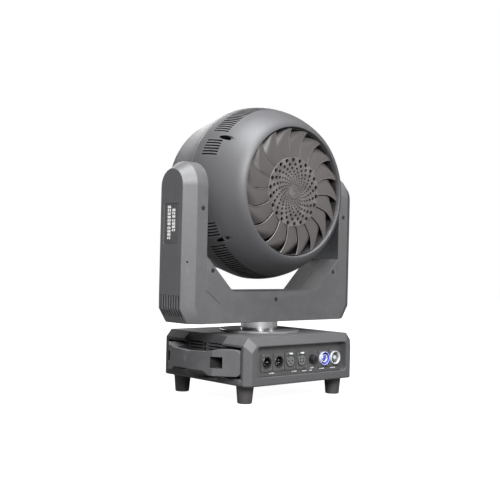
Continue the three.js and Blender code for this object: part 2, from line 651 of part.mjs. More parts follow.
/** A circuit board with blocks on it, given as [x, y, half x, half y, height]. */
function circuitBoard([x0, x1], [y0, y1], z, blocks) {
  const plate = box([x0, x1], [y0, y1], [z, z + BOARD_THICKNESS]);
  const parts = blocks.map(([x, y, hx, hy, height]) =>
    box([x - hx, x + hx], [y - hy, y + hy], [z + 1, z + BOARD_THICKNESS + height]));
  return plate.add(wasm.Manifold.union(parts));
}

function panTube() {
  const top = YOKE_BOTTOM + TUBE_TOP;
  const collarTop = YOKE_BOTTOM + COVER_WALL - GAP;
  const flangeTop = BASE_TOP - BASE_WALL - GAP;
  return turned([
    [TUBE_BORE, flangeTop - TUBE_FLANGE_THICKNESS],
    [TUBE_FLANGE_RADIUS, flangeTop - TUBE_FLANGE_THICKNESS],
    [TUBE_FLANGE_RADIUS, flangeTop],
    [COLLAR_RADIUS, flangeTop],
    [COLLAR_RADIUS, collarTop],
    [TUBE_RADIUS, collarTop],
    [TUBE_RADIUS, top],
    [TUBE_BORE, top],
  ], "z", undefined, FINE);
}

function buildBase() {
  const base = new THREE.Group();
  add(base, "base_housing", baseHousing(), casing);
  add(base, "base_bottom_plate", bottomPlate(), steel);
  for (const [frontRear, sy] of [["front", -1], ["rear", 1]]) {
    for (const [leftRight, sx] of ARM_SIDES) add(base, `foot_${frontRear}_${leftRight}`, foot(sx, sy), rubber);
  }
  for (const [leftRight, side] of ARM_SIDES) add(base, `handle_${leftRight}`, handle(side), casing);
  add(base, "connector_panel", connectorPanel(), panelBlack);
  add(base, "data_in_3pin", dataInput(connectorX(0), 3), blackPlastic);
  add(base, "data_in_5pin", dataInput(connectorX(1), 5), blackPlastic);
  add(base, "data_out_3pin", dataOutput(connectorX(2), 3), blackPlastic);
  add(base, "data_out_5pin", dataOutput(connectorX(3), 5), blackPlastic);
  add(base, "latch_3pin", latchTab(connectorX(2)), chrome);
  add(base, "latch_5pin", latchTab(connectorX(3)), chrome);
  add(base, "fuse_holder", fuseHolder(connectorX(FUSE_PLACE)), blackPlastic);
  add(base, "fuse_cap", fuseCap(connectorX(FUSE_PLACE)), blackPlastic);
  add(base, "mains_inlet", mainsSocket(connectorX(5)), bluePlastic);
  add(base, "mains_outlet", mainsSocket(connectorX(6)), whitePlastic);
  add(base, "display_bezel", displayBezel(), panelBlack);
  add(base, "display_window", displayWindow(), glass);
  for (const i of [0, 1, 2, 3]) add(base, `menu_button_${i + 1}`, menuButton(i), rubber);
  const floor = FOOT_HEIGHT + BOTTOM_PLATE_THICKNESS + GAP;
  add(base, "power_supply", box([-104, 24], [-62, 62], [floor, floor + 42]), aluminium);
  add(base, "main_board", circuitBoard([36, 108], [-70, 66], floor + 6, [
    [52, 40, 8, 10, 12], [80, 44, 6, 6, 8], [70, -6, 12, 12, 4], [92, -44, 8, 14, 14], [52, -46, 6, 14, 10],
  ]), board);
  add(base, "pan_trim_disc", ring(COLLAR_RADIUS + GAP, TRIM_RADIUS, "z",
    [BASE_TOP + GAP, BASE_TOP + TRIM_HEIGHT], undefined, FINE), blackPlastic);
  add(base, "pan_tube", panTube(), chrome);
  const low = YOKE_BOTTOM + PAN_PULLEY_LOW;
  add(base, "pan_pulley", ring(TUBE_RADIUS + GAP, pulleyRadius(PAN_TEETH), "z",
    [low, low + PULLEY_WIDTH], undefined, FINE), aluminium);
  return base;
}

// ---- Yoke ----

const pulleyRadius = (teeth) => teeth * BELT_PITCH / (2 * Math.PI);

/** The arm's side outline at one depth: straight sides and a round top about the tilt axis. */
function armSection(x, half, low, steps = 12) {
  const arc = Array.from({ length: steps + 1 }, (_, i) => {
    const angle = i / steps * Math.PI;
    return [x, half * Math.cos(angle), TILT_ABOVE_YOKE + half * Math.sin(angle)];
  });
  return [[x, half, low], ...arc, [x, -half, low]];
}

/** One arm as a solid: its rear and front faces, bevels, outer flat and the slant at its foot. */
function armForm(inner, wall) {
  const half = YOKE_HALF_DEPTH - wall;
  const flatHalf = ARM_FLAT_HALF - wall * 0.6;
  const edge = ARM_EDGE - wall * 0.4;
  const outer = ARM_OUTER - wall;
  const slantHigh = ARM_SLANT_HIGH + wall * 0.5;
  return convex([
    ...armSection(inner, half, wall),
    ...armSection(edge, half, slantHigh + 2),
    ...armSection(outer, flatHalf, slantHigh - 2),
    [edge - ARM_SLANT_EDGE, half, wall], [edge - ARM_SLANT_EDGE, -half, wall],
    [outer - ARM_SLANT_EDGE, flatHalf, wall], [outer - ARM_SLANT_EDGE, -flatHalf, wall],
  ]);
}

/** The outline of the label's recess in the arm's flat, and `inset` inside it. */
const labelOutline = (inset) => roundedRectangle(
  [-LABEL_WIDTH / 2 + inset, LABEL_WIDTH / 2 - inset],
  [LABEL_CENTRE - LABEL_HEIGHT / 2 + inset, LABEL_CENTRE + LABEL_HEIGHT / 2 - inset],
  2, 2,
);

function armCover(side) {
  const shell = armForm(SEAM_X + GAP, 0).subtract(armForm(SEAM_X - REACH, ARM_WALL));
  const insideSeam = prism([
    [SEAM_X - 2 * REACH, -1], [SEAM_X + GAP, -1], [SEAM_X + GAP, SEAM_LOW], [ARM_INNER, SEAM_HIGH],
    [ARM_INNER, TILT_ABOVE_YOKE + REACH], [SEAM_X - 2 * REACH, TILT_ABOVE_YOKE + REACH],
  ], "y", [-REACH, REACH]);
  const label = prism(labelOutline(0), "x", [ARM_OUTER - LABEL_RECESS, ARM_OUTER + 1]);
  const vents = row(ARM_VENTS, ARM_VENT_PITCH).map((y) => box(
    [ARM_EDGE, ARM_OUTER + 1],
    [y - ARM_VENT_WIDTH / 2, y + ARM_VENT_WIDTH / 2],
    [ARM_VENT_LOW, ARM_VENT_HIGH],
  ));
  const cover = shell.subtract(wasm.Manifold.union([insideSeam, label, ...vents]));
  return side > 0 ? cover : cover.mirror([1, 0, 0]);
}

/** One half of the crossbar's cover, with its two gussets; `side` is 1 for the rear half. */
function crossbarCover(side) {
  const inner = ARM_INNER - GAP;
  const start = inner - GUSSET_RISE;
  const outline = [
    [-SEAM_X, 0], [SEAM_X, 0], [SEAM_X, SEAM_LOW], [inner, SEAM_HIGH], [inner, CROSSBAR_HEIGHT + GUSSET_RISE],
    [start, CROSSBAR_HEIGHT], [-start, CROSSBAR_HEIGHT], [-inner, CROSSBAR_HEIGHT + GUSSET_RISE],
    [-inner, SEAM_HIGH], [-SEAM_X, SEAM_LOW],
  ];
  const top = CROSSBAR_HEIGHT - COVER_WALL;
  const bend = start + COVER_WALL * Math.tan(Math.PI / 8);
  const beyond = inner + REACH;
  const cavity = [
    [-beyond, COVER_WALL], [beyond, COVER_WALL], [beyond, top + beyond - bend], [bend, top],
    [-bend, top], [-beyond, top + beyond - bend],
  ];
  const span = (from, to) => side > 0 ? [from, to] : [-to, -from];
  return prism(outline, "y", span(GAP / 2, YOKE_HALF_DEPTH)).subtract(wasm.Manifold.union([
    prism(cavity, "y", span(-1, YOKE_HALF_DEPTH - COVER_WALL)),
    rod(COLLAR_RADIUS + 1, "z", [-1, COVER_WALL + 1], undefined, FINE),
  ]));
}

/** The bent steel frame inside the yoke: crossbar floor with the pan bearing's seat, and both arm plates. */
function yokeFrame() {
  const low = COVER_WALL + 0.5;
  const floorHalf = YOKE_HALF_DEPTH - COVER_WALL - GAP;
  const plateHalf = YOKE_HALF_DEPTH - ARM_WALL - GAP;
  const inner = ARM_INNER + GAP;
  const outer = inner + FRAME_SHEET;
  const section = armSection(0, plateHalf, low).map(([, y, z]) => [y, z]);
  const arms = [[inner, outer], [-outer, -inner]].map((span) => prism(section, "x", span));
  const floor = box([-outer, outer], [-floorHalf + 1, floorHalf - 1], [low, low + FRAME_SHEET]);
  const seat = rod(BEARING_PAN_RADIUS + 4, "z", [low, low + BEARING_PAN_WIDTH + 1], undefined, FINE);
  return wasm.Manifold.union([floor, seat, ...arms]).subtract(wasm.Manifold.union([
    rod(BEARING_PAN_RADIUS + GAP, "z", [low - 1, low + BEARING_PAN_WIDTH + 2], undefined, FINE),
    rod(BEARING_TILT_RADIUS + GAP, "x", [-ARM_OUTER, ARM_OUTER], [0, 0, TILT_ABOVE_YOKE], MEDIUM),
  ]));
}

/** A toothed belt's closed loop round two pulleys, as an outline with a hole. */
function beltLoop(firstTeeth, secondTeeth, distance, along) {
  const loop = (grow, steps = 20) => {
    const r1 = pulleyRadius(firstTeeth) + grow;
    const r2 = pulleyRadius(secondTeeth) + grow;
    const lean = Math.acos((r1 - r2) / distance);
    const arc = (centre, radius, from, to) => Array.from({ length: steps + 1 }, (_, i) => {
      const angle = from + (to - from) * i / steps;
      return new THREE.Vector2(centre + radius * Math.cos(angle), radius * Math.sin(angle));
    });
    const points = [...arc(distance, r2, -lean, lean), ...arc(0, r1, lean, 2 * Math.PI - lean)];
    return points.map((p) => p.rotateAround(new THREE.Vector2(), along));
  };
  const shape = new THREE.Shape(loop(GAP + BELT_THICKNESS));
  shape.holes.push(new THREE.Path(loop(GAP)));
  return shape;
}

/** A square motor with a bore for its shaft; `axis` is the shaft's. */
function motor(axis, size, [from, to], [cx, cy, cz]) {
  const half = size / 2;
  const chamfer = size * 0.09;
  const c = half - chamfer;
  const outline = [[half, c], [c, half], [-c, half], [-half, c], [-half, -c], [-c, -half], [c, -half], [half, -c]];
  const length = Math.abs(to - from);
  const bore = Math.sign(to - from) > 0 ? [to - length / 2, to + 1] : [to - 1, to + length / 2];
  const body = prism(outline, axis, [Math.min(from, to), Math.max(from, to)]);
  return body.subtract(rod(MOTOR_SHAFT + GAP, axis, bore, undefined, COARSE)).translate([cx, cy, cz]);
}

/** A small pulley with the shaft that runs back into its motor. */
function motorPulley(teeth, axis, [from, to], shaftEnd, centre) {
  return rod(pulleyRadius(teeth), axis, [from, to], centre, COARSE)
    .add(rod(MOTOR_SHAFT, axis, [shaftEnd, to + 1], centre, COARSE));
}

function buildYoke() {
  const yoke = new THREE.Group();
  yoke.position.z = YOKE_BOTTOM;
  add(yoke, "yoke_frame", yokeFrame(), steel);
  for (const [leftRight, side] of ARM_SIDES) {
    add(yoke, `arm_cover_${leftRight}`, armCover(side), casing);
    const x = ARM_OUTER - LABEL_RECESS + GAP;
    const plate = prism(labelOutline(GAP), "x", [x, x + LABEL_THICKNESS]);
    add(yoke, `label_plate_${leftRight}`, side > 0 ? plate : plate.mirror([1, 0, 0]), panelBlack);
    const bearing = ring(TRUNNION_RADIUS + GAP, BEARING_TILT_RADIUS, "x",
      [ARM_INNER - 1, ARM_INNER - 1 + BEARING_TILT_WIDTH], [0, 0, TILT_ABOVE_YOKE], MEDIUM);
    add(yoke, `tilt_bearing_${leftRight}`, side > 0 ? bearing : bearing.mirror([1, 0, 0]), chrome);
  }
  add(yoke, "crossbar_cover_rear", crossbarCover(1), casing);
  add(yoke, "crossbar_cover_front", crossbarCover(-1), casing);

  const floor = COVER_WALL + 0.5 + FRAME_SHEET;
  add(yoke, "pan_bearing", ring(TUBE_RADIUS + GAP, BEARING_PAN_RADIUS, "z",
    [floor - FRAME_SHEET + GAP, floor - FRAME_SHEET + GAP + BEARING_PAN_WIDTH], undefined, FINE), chrome);
  const panMotorTop = floor + GAP + PAN_MOTOR_LENGTH;
  add(yoke, "pan_motor", motor("z", MOTOR_SIZE, [floor + GAP, panMotorTop], [PAN_MOTOR_X, 0, 0]), blackPlastic);
  add(yoke, "pan_motor_pulley", motorPulley(PAN_MOTOR_TEETH, "z",
    [PAN_PULLEY_LOW, PAN_PULLEY_LOW + PULLEY_WIDTH], panMotorTop - 12, [PAN_MOTOR_X, 0, 0]), aluminium);
  const beltLow = PAN_PULLEY_LOW + (PULLEY_WIDTH - BELT_WIDTH) / 2;
  add(yoke, "pan_belt", prism(beltLoop(PAN_TEETH, PAN_MOTOR_TEETH, -PAN_MOTOR_X, Math.PI), "z",
    [beltLow, beltLow + BELT_WIDTH]), rubber);

  const motorFace = ARM_INNER + FRAME_SHEET + 2 * GAP;
  const tiltCentre = [0, 0, TILT_MOTOR_HEIGHT];
  const tiltMotor = motor("x", MOTOR_SIZE, [motorFace, motorFace + TILT_MOTOR_LENGTH], tiltCentre);
  add(yoke, "tilt_motor", tiltMotor, blackPlastic);
  add(yoke, "tilt_motor_pulley", motorPulley(TILT_MOTOR_TEETH, "x",
    [TILT_PULLEY_X, TILT_PULLEY_X + PULLEY_WIDTH], motorFace + TILT_MOTOR_LENGTH - 8, tiltCentre), aluminium);
  const beltX = TILT_PULLEY_X + (PULLEY_WIDTH - BELT_WIDTH) / 2;
  const tiltLoop = beltLoop(TILT_TEETH, TILT_MOTOR_TEETH, TILT_ABOVE_YOKE - TILT_MOTOR_HEIGHT, -Math.PI / 2);
  const belt = prism(tiltLoop, "x", [beltX, beltX + BELT_WIDTH]);
  add(yoke, "tilt_belt", belt.translate([0, 0, TILT_ABOVE_YOKE]), rubber);
  const boardX = -ARM_INNER - FRAME_SHEET - 8;
  add(yoke, "arm_board", box([boardX - BOARD_THICKNESS, boardX], [-30, 30], [70, 190])
    .add(box([boardX - 12, boardX - 1], [-20, 4], [90, 130]))
    .add(box([boardX - 9, boardX - 1], [8, 24], [150, 180])), board);
  return yoke;
}

// ---- Head ----

/** The head's outer radius at a place along its axis, rear part. */
const roundRadius = (y, shrink = 0) =>
  Math.sqrt((HEAD_RADIUS - shrink) ** 2 - (y - HEAD_CENTRE_Y) ** 2);

const stationsBetween = (from, to, count) =>
  Array.from({ length: count + 1 }, (_, i) => from + (to - from) * i / count);

function rearShell() {
  const shoulder = HEAD_REAR_Y - RIM_LIP;
  const outer = stationsBetween(HEAD_SEAM_Y, shoulder, 7).map((y) => [roundRadius(y), y]);
  const inner = stationsBetween(shoulder - HEAD_WALL, HEAD_SEAM_Y, 5).map((y) => [roundRadius(y, HEAD_WALL), y]);
  const shell = turned([
    ...outer,
    [RIM_RADIUS + 3, HEAD_REAR_Y],
    [RIM_RADIUS, HEAD_REAR_Y],
    [RIM_RADIUS - 2, shoulder - HEAD_WALL],
    ...inner,
  ], "y", undefined, FINEST);
  const vent = box([-SIDE_VENT_WIDTH / 2, SIDE_VENT_WIDTH / 2], [SIDE_VENT_FRONT, SIDE_VENT_REAR],
    [HEAD_FRAME_INNER, HEAD_RADIUS + REACH]);
  const vents = [];
  for (let i = 0; i < SIDE_VENTS; i++) {
    const fromTop = SIDE_VENT_FIRST + i * SIDE_VENT_STEP;
    for (const angle of [fromTop, -fromTop, 180 - fromTop, 180 + fromTop]) vents.push(vent.rotate([0, angle, 0]));
  }
  return shell.subtract(wasm.Manifold.union([
    rod(TRUNNION_HOLE, "x", [-HEAD_RADIUS - 1, -HEAD_FRAME_INNER], undefined, MEDIUM),
    rod(TRUNNION_HOLE, "x", [HEAD_FRAME_INNER, HEAD_RADIUS + 1], undefined, MEDIUM),
    ...vents,
  ]));
}

function frontShell() {
  const start = HEAD_SEAM_Y - GAP;
  const outer = [[roundRadius(start), start], ...FRONT_OUTLINE];
  return turned([...outer, ...outer.map(([r, y]) => [r - HEAD_WALL, y]).reverse()], "y", undefined, FINEST);
}

function frontBezel() {
  const [radius, y] = FRONT_OUTLINE.at(-1);
  const rear = y - GAP;
  return turned([
    [BEZEL_INNER, rear], [radius - 0.5, rear], [radius - 1.5, rear - BEZEL_DEPTH + 1.5],
    [radius - 4, rear - BEZEL_DEPTH], [BEZEL_INNER + 2, rear - BEZEL_DEPTH],
  ], "y", undefined, FINEST);
}

/** The cast ring that carries everything in the head, with a trunnion on each side. */
function headFrame() {
  const shaftEnd = TILT_PULLEY_X + PULLEY_WIDTH + 1;
  const body = ring(HEAD_FRAME_INNER, HEAD_FRAME_OUTER, "y", [-HEAD_FRAME_HALF, HEAD_FRAME_HALF], undefined, FINE);
  return wasm.Manifold.union([
    body,
    rod(TRUNNION_BOSS, "x", [HEAD_FRAME_INNER + 8, HEAD_RADIUS + 2], undefined, MEDIUM),
    rod(TRUNNION_BOSS, "x", [-HEAD_RADIUS - 2, -HEAD_FRAME_INNER - 8], undefined, MEDIUM),
    rod(TRUNNION_RADIUS, "x", [HEAD_RADIUS, shaftEnd], undefined, MEDIUM),
    rod(TRUNNION_RADIUS, "x", [-ARM_INNER - BEARING_TILT_WIDTH - 1, -HEAD_RADIUS], undefined, MEDIUM),
  ]);
}

/** A vane's centre line from the disc to the rim, as [radius, degrees ahead of its root]. */
const vaneLine = (from, to) => stationsBetween(0, 1, 5).map((t) =>
  [from + (to - from) * t, VANE_SWEEP * t * ((1 + VANE_DIP) * t - VANE_DIP)]);

function rearGrille() {
  const outer = RIM_RADIUS - 2 - GAP;
  const front = GRILLE_REAR - GRILLE_DEPTH;
  const rim = ring(outer - GRILLE_RIM_WALL, outer, "y", [front, GRILLE_REAR - 4], undefined, FINE);
  const disc = turned([
    [0, GRILLE_REAR - 4], [GRILLE_DISC, GRILLE_REAR - 4], [GRILLE_DISC, GRILLE_REAR - 1],
    [14, GRILLE_REAR - 1], [13, GRILLE_REAR], [0, GRILLE_REAR],
  ], "y", undefined, FINE);
  const line = vaneLine(GRILLE_DISC - 2, outer - GRILLE_RIM_WALL / 2);
  const edge = (shift) => line.map(([r, ahead]) => {
    const angle = shift / r - ahead * Math.PI / 180;
    return [r * Math.sin(angle), r * Math.cos(angle)];
  });
  const outline = [...edge(VANE_THICKNESS / 2), ...edge(-VANE_THICKNESS / 2).reverse()];
  const vane = prism(outline, "y", [front + 1, GRILLE_REAR - 2]);
  const vanes = Array.from({ length: VANES }, (_, i) => vane.rotate([0, 360 * i / VANES, 0]));
  return wasm.Manifold.union([rim, disc, ...vanes]);
}

function heatsink() {
  const front = LED_BOARD_Y + 3 + GAP;
  const fins = [];
  const count = 2 * Math.floor((HEATSINK_RADIUS - FIN_RIM) / FIN_PITCH) + 1;
  for (const x of row(count, FIN_PITCH)) {
    const half = Math.sqrt(HEATSINK_RADIUS ** 2 - x ** 2) - FIN_RIM;
    fins.push(box([x - FIN_THICKNESS / 2, x + FIN_THICKNESS / 2], [front + 4, HEATSINK_REAR], [-half, half]));
  }
  return wasm.Manifold.union([rod(HEATSINK_RADIUS, "y", [front, front + 6], undefined, FINE), ...fins]);
}

function ledBoard() {
  const emitters = lensField(LENS_PITCH).map(([x, z]) => box(
    [x - LED_SIZE / 2, x + LED_SIZE / 2],
    [LED_BOARD_Y - 2.5, LED_BOARD_Y + 1],
    [z - LED_SIZE / 2, z + LED_SIZE / 2],
  ));
  return wasm.Manifold.union([
    rod(LED_BOARD_RADIUS, "y", [LED_BOARD_Y, LED_BOARD_Y + 3], undefined, FINE),
    ...emitters,
  ]);
}

function fanFrame() {
  const half = FAN_SIZE / 2;
  const rear = FAN_FRONT + FAN_DEPTH;
  const spokes = [45, 135, 225, 315].map((angle) =>
    box([-3, 3], [rear - 3, rear], [FAN_HUB - 4, FAN_BORE + 4]).rotate([0, angle, 0]));
  const outline = roundedRectangle([-half, half], [-half, half], 6, 3);
  return prism(outline, "y", [FAN_FRONT, rear])
    .subtract(rod(FAN_BORE, "y", [FAN_FRONT - 1, rear + 1], undefined, FINE))
    .add(rod(FAN_HUB, "y", [rear - 4, rear], undefined, MEDIUM))
    .add(wasm.Manifold.union(spokes));
}

function fanRotor() {
  const hub = rod(FAN_HUB, "y", [FAN_FRONT + 3, FAN_FRONT + FAN_DEPTH - 4 - GAP], undefined, MEDIUM);
  const middle = FAN_FRONT + FAN_DEPTH / 2 - 1;
  const blades = Array.from({ length: FAN_BLADES }, (_, i) => {
    const blade = box([-1, 1], [-9, 9], [FAN_HUB - 2, FAN_BORE - 2]).rotate([0, 0, 42]);
    return blade.translate([0, middle, 0]).rotate([0, 360 * i / FAN_BLADES, 0]);
  });
  return wasm.Manifold.union([hub, ...blades]);
}

/** The moving plate with nineteen six-sided lenses and the lug for its lead screw. */
function lensPlate() {
  const rear = LENS_PLATE_Y + LENS_PLATE_THICKNESS;
  const hexagon = (across) => Array.from({ length: 6 }, (_, i) => {
    const angle = (i + 0.5) * Math.PI / 3;
    return [across * Math.cos(angle) / Math.sqrt(3), across * Math.sin(angle) / Math.sqrt(3)];
  });
  const wide = hexagon(LENS_PITCH - 2);
  const narrow = hexagon(LENS_PITCH - 14);
  const lens = convex([
    ...wide.map(([x, z]) => [x, LENS_PLATE_Y + 1, z]),
    ...narrow.map(([x, z]) => [x, LENS_PLATE_Y - LENS_PROUD, z]),
  ]);
  const lenses = lensField(LENS_PITCH).map(([x, z]) => lens.translate([x, 0, z]));
  return wasm.Manifold.union([
    rod(LENS_PLATE_RADIUS, "y", [LENS_PLATE_Y, rear], undefined, FINE),
    box([-8, 8], [LENS_PLATE_Y, rear], [LENS_PLATE_RADIUS - 5, ZOOM_SCREW_Z + 7]),
    ...lenses,
  ]).subtract(rod(ZOOM_SCREW_RADIUS + GAP, "y", [LENS_PLATE_Y - 1, rear + 1], [0, 0, ZOOM_SCREW_Z], COARSE));
}

function buildHead() {
  const head = new THREE.Group();
  head.position.z = TILT_HEIGHT;
  add(head, "head_frame", headFrame(), aluminium);
  add(head, "head_rear_shell", rearShell(), casing);
  add(head, "head_front_shell", frontShell(), casing);
  add(head, "front_bezel", frontBezel(), blackPlastic);
  add(head, "rear_grille", rearGrille(), casing);
  add(head, "heatsink", heatsink(), aluminium);
  add(head, "led_board", ledBoard(), board);
  add(head, "fan_frame", fanFrame(), blackPlastic);
  add(head, "fan_rotor", fanRotor(), blackPlastic);
  add(head, "lens_plate", lensPlate(), lensGlass);
  add(head, "tilt_pulley", ring(TRUNNION_RADIUS + GAP, pulleyRadius(TILT_TEETH), "x",
    [TILT_PULLEY_X, TILT_PULLEY_X + PULLEY_WIDTH], undefined, FINE), aluminium);
  const motorFront = ZOOM_MOTOR_REAR - ZOOM_MOTOR_LENGTH;
  const screwLine = [0, 0, ZOOM_SCREW_Z];
  add(head, "zoom_motor", motor("y", ZOOM_MOTOR_SIZE, [ZOOM_MOTOR_REAR, motorFront], screwLine), blackPlastic);
  const screw = rod(ZOOM_SCREW_RADIUS, "y", [LENS_PLATE_Y - 4, motorFront + 8], screwLine, COARSE);
  add(head, "zoom_screw", screw, steel);
  return head;
}

const group = new THREE.Group();
group.add(buildBase(), buildYoke(), buildHead());

export default group;
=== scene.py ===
import json
import math

import bmesh
import bpy
from mathutils import Matrix, Vector
from mathutils.bvhtree import BVHTree


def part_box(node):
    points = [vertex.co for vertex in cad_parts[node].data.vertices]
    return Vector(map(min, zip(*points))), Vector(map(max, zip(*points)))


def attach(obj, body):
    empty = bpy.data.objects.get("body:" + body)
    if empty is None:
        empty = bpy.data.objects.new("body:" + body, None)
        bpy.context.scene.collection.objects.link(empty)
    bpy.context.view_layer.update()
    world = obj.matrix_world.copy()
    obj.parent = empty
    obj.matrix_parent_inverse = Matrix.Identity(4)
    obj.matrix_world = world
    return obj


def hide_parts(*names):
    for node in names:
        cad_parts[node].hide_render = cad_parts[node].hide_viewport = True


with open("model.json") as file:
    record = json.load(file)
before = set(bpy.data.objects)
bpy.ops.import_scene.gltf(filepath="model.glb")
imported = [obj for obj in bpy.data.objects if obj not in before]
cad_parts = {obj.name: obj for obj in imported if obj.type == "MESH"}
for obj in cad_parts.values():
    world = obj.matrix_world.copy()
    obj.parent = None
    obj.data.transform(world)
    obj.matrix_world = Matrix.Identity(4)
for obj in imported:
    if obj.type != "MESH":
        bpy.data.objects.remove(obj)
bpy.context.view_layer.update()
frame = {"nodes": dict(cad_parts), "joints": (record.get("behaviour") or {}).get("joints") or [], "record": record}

MM = 0.001
NODES = frame["nodes"]
BODY_OF = {n: body for body, names in frame["record"]["behaviour"]["bodies"].items() for n in names}
TILT_JOINT = next(j for j in frame["joints"] if j["name"] == "tilt")
TILT_HEIGHT = TILT_JOINT["pos_m"][2] / MM
X, Y, Z = Vector((1, 0, 0)), Vector((0, 1, 0)), Vector((0, 0, 1))


# ---- Camera, floor and studio light ----

def aim_camera():
    """A long lens, a little above the base, looking at the rear and the left arm."""
    azimuth, distance, height = math.radians(42.63), 1.7109, 0.2488
    yaw, pitch, roll = azimuth - math.radians(0.67), math.radians(0.44), math.radians(1.36)
    level = Vector((-math.sin(yaw), -math.cos(yaw), 0))
    side = Vector((-math.cos(yaw), math.sin(yaw), 0))
    forward = level * math.cos(pitch) + Z * math.sin(pitch)
    upright = Z * math.cos(pitch) - level * math.sin(pitch)
    right = side * math.cos(roll) + upright * math.sin(roll)
    up = upright * math.cos(roll) - side * math.sin(roll)
    camera = bpy.data.objects.new("camera", bpy.data.cameras.new("camera"))
    bpy.context.scene.collection.objects.link(camera)
    turn = Matrix((right, up, -forward)).transposed().to_4x4()
    place = Vector((math.sin(azimuth) * distance, math.cos(azimuth) * distance, height))
    camera.matrix_world = Matrix.Translation(place) @ turn
    camera.data.lens = 66.5
    camera.data.sensor_width = 36
    camera.data.clip_end = 50
    bpy.context.scene.camera = camera


def soft_box(name, place, size, power, colour=(1, 1, 1)):
    light = bpy.data.lights.new(name, "AREA")
    light.shape = "DISK"
    light.size = size
    light.energy = power
    light.color = colour
    lamp = bpy.data.objects.new(name, light)
    bpy.context.scene.collection.objects.link(lamp)
    lamp.location = place
    lamp.rotation_euler = (Vector((0, 0, 0.3)) - Vector(place)).to_track_quat("-Z", "Y").to_euler()


def light_studio():
    soft_box("key_box", (1.5, 2.35, 1.8), 1.5, 205)
    soft_box("top_box", (0.5, 0.45, 2.6), 1.3, 125, (0.97, 0.98, 1))
    soft_box("rear_box", (-1.8, 2.0, 1.1), 1.4, 14)
    soft_box("front_box", (-0.9, -2.6, 1.5), 1.6, 32)
    world = bpy.data.worlds.new("pale_room")
    world.use_nodes = True
    tree = world.node_tree
    background = tree.nodes["Background"]
    background.inputs["Color"].default_value = (1, 1, 1, 1)
    seen = tree.nodes.new("ShaderNodeLightPath")
    strength = tree.nodes.new("ShaderNodeMapRange")
    strength.inputs["To Min"].default_value = 0.08
    strength.inputs["To Max"].default_value = 1.0
    tree.links.new(seen.outputs["Is Camera Ray"], strength.inputs["Value"])
    tree.links.new(strength.outputs["Result"], background.inputs["Strength"])
    bpy.context.scene.world = world
    bpy.context.scene.view_settings.view_transform = "Standard"


# ---- Working by hand: starting, choosing and shaping ----

def clear():
    if bpy.context.mode != "OBJECT":
        bpy.ops.object.mode_set(mode="OBJECT")
    bpy.ops.object.select_all(action="DESELECT")


def take(piece):
    """The piece alone is selected and active."""
    clear()
    piece.select_set(True)
    bpy.context.view_layer.objects.active = piece
    return piece


def named(name):
    piece = bpy.context.active_object
    piece.name = name
    piece.data.name = name
    return piece


def choose(piece, test):
    """In edit mode, selects the faces for which the test of middle and normal is true."""
    bpy.ops.mesh.select_mode(type="FACE")
    bpy.ops.mesh.select_all(action="DESELECT")
    mesh = bmesh.from_edit_mesh(piece.data)
    for face in mesh.faces:
        face.select_set(bool(test(face.calc_center_median(), face.normal)))
    bmesh.update_edit_mesh(piece.data)


def settle(piece):
    """Puts the piece's place into its mesh."""
    take(piece)
    bpy.ops.object.transform_apply(location=True, rotation=True, scale=True)
    return piece


def modify(piece, kind, **settings):
    take(piece)
    modifier = piece.modifiers.new(kind.lower(), kind)
    for key, value in settings.items():
        setattr(modifier, key, value)
    bpy.ops.object.modifier_apply(modifier=modifier.name)
    return piece


def rounded(piece, width, segments=2, angle=30):
    """Rounds the piece's edges that are sharper than the angle."""
    return modify(piece, "BEVEL", width=width * MM, segments=segments, limit_method="ANGLE",
                  angle_limit=math.radians(angle), use_clamp_overlap=True, harden_normals=False,
                  miter_outer="MITER_ARC")


def rounded_where(piece, width, segments, test):
    """Rounds the sharp edges for which the test of middle and direction, in millimetres, is true."""
    take(piece)
    bpy.ops.object.mode_set(mode="EDIT")
    bpy.ops.mesh.select_mode(type="EDGE")
    bpy.ops.mesh.select_all(action="DESELECT")
    mesh = bmesh.from_edit_mesh(piece.data)
    for edge in mesh.edges:
        if len(edge.link_faces) == 2 and edge.calc_face_angle() > math.radians(25):
            first, second = (corner.co / MM for corner in edge.verts)
            edge.select_set(bool(test((first + second) / 2, (second - first).normalized())))
    bmesh.update_edit_mesh(piece.data)
    bpy.ops.mesh.bevel(offset=width * MM, segments=segments, affect="EDGES", clamp_overlap=True)
    bpy.ops.object.mode_set(mode="OBJECT")
    return piece


def smooth(piece, angle=30):
    take(piece)
    bpy.ops.object.shade_smooth_by_angle(angle=math.radians(angle))
    return modify(piece, "WEIGHTED_NORMAL", keep_sharp=True, weight=60)


def cut(piece, *cutters):
    """Takes the cutters away from the piece."""
    for cutter in cutters:
        modify(piece, "BOOLEAN", operation="DIFFERENCE", solver="EXACT", object=cutter)
        bpy.data.objects.remove(cutter)
    return piece


def joined(name, pieces):
    clear()
    for piece in pieces:
        piece.select_set(True)
    bpy.context.view_layer.objects.active = pieces[0]
    if len(pieces) > 1:
        bpy.ops.object.join()
    return settle(named(name))


def copy_of(piece, placing):
    """A copy with its own mesh, moved by a matrix."""
    made = bpy.data.objects.new(piece.name + "_copy", piece.data.copy())
    made.data.transform(placing)
    bpy.context.scene.collection.objects.link(made)
    return made


def block(low, high):
    """A box between two corners, in millimetres."""
    clear()
    low, high = Vector(low), Vector(high)
    bpy.ops.mesh.primitive_cube_add(size=1, location=(low + high) / 2 * MM, scale=(high - low) * MM)
    return settle(bpy.context.active_object)


def rod(radius, axis, start, end, centre=(0, 0, 0), sides=32):
    """A round bar along an axis, in millimetres."""
    clear()
    place = Vector(centre) + axis * (start + end) / 2
    bpy.ops.mesh.primitive_cylinder_add(vertices=sides, radius=radius * MM, depth=abs(end - start) * MM,
                                        location=place * MM, rotation=axis.to_track_quat("Z", "Y").to_euler())
    return settle(bpy.context.active_object)


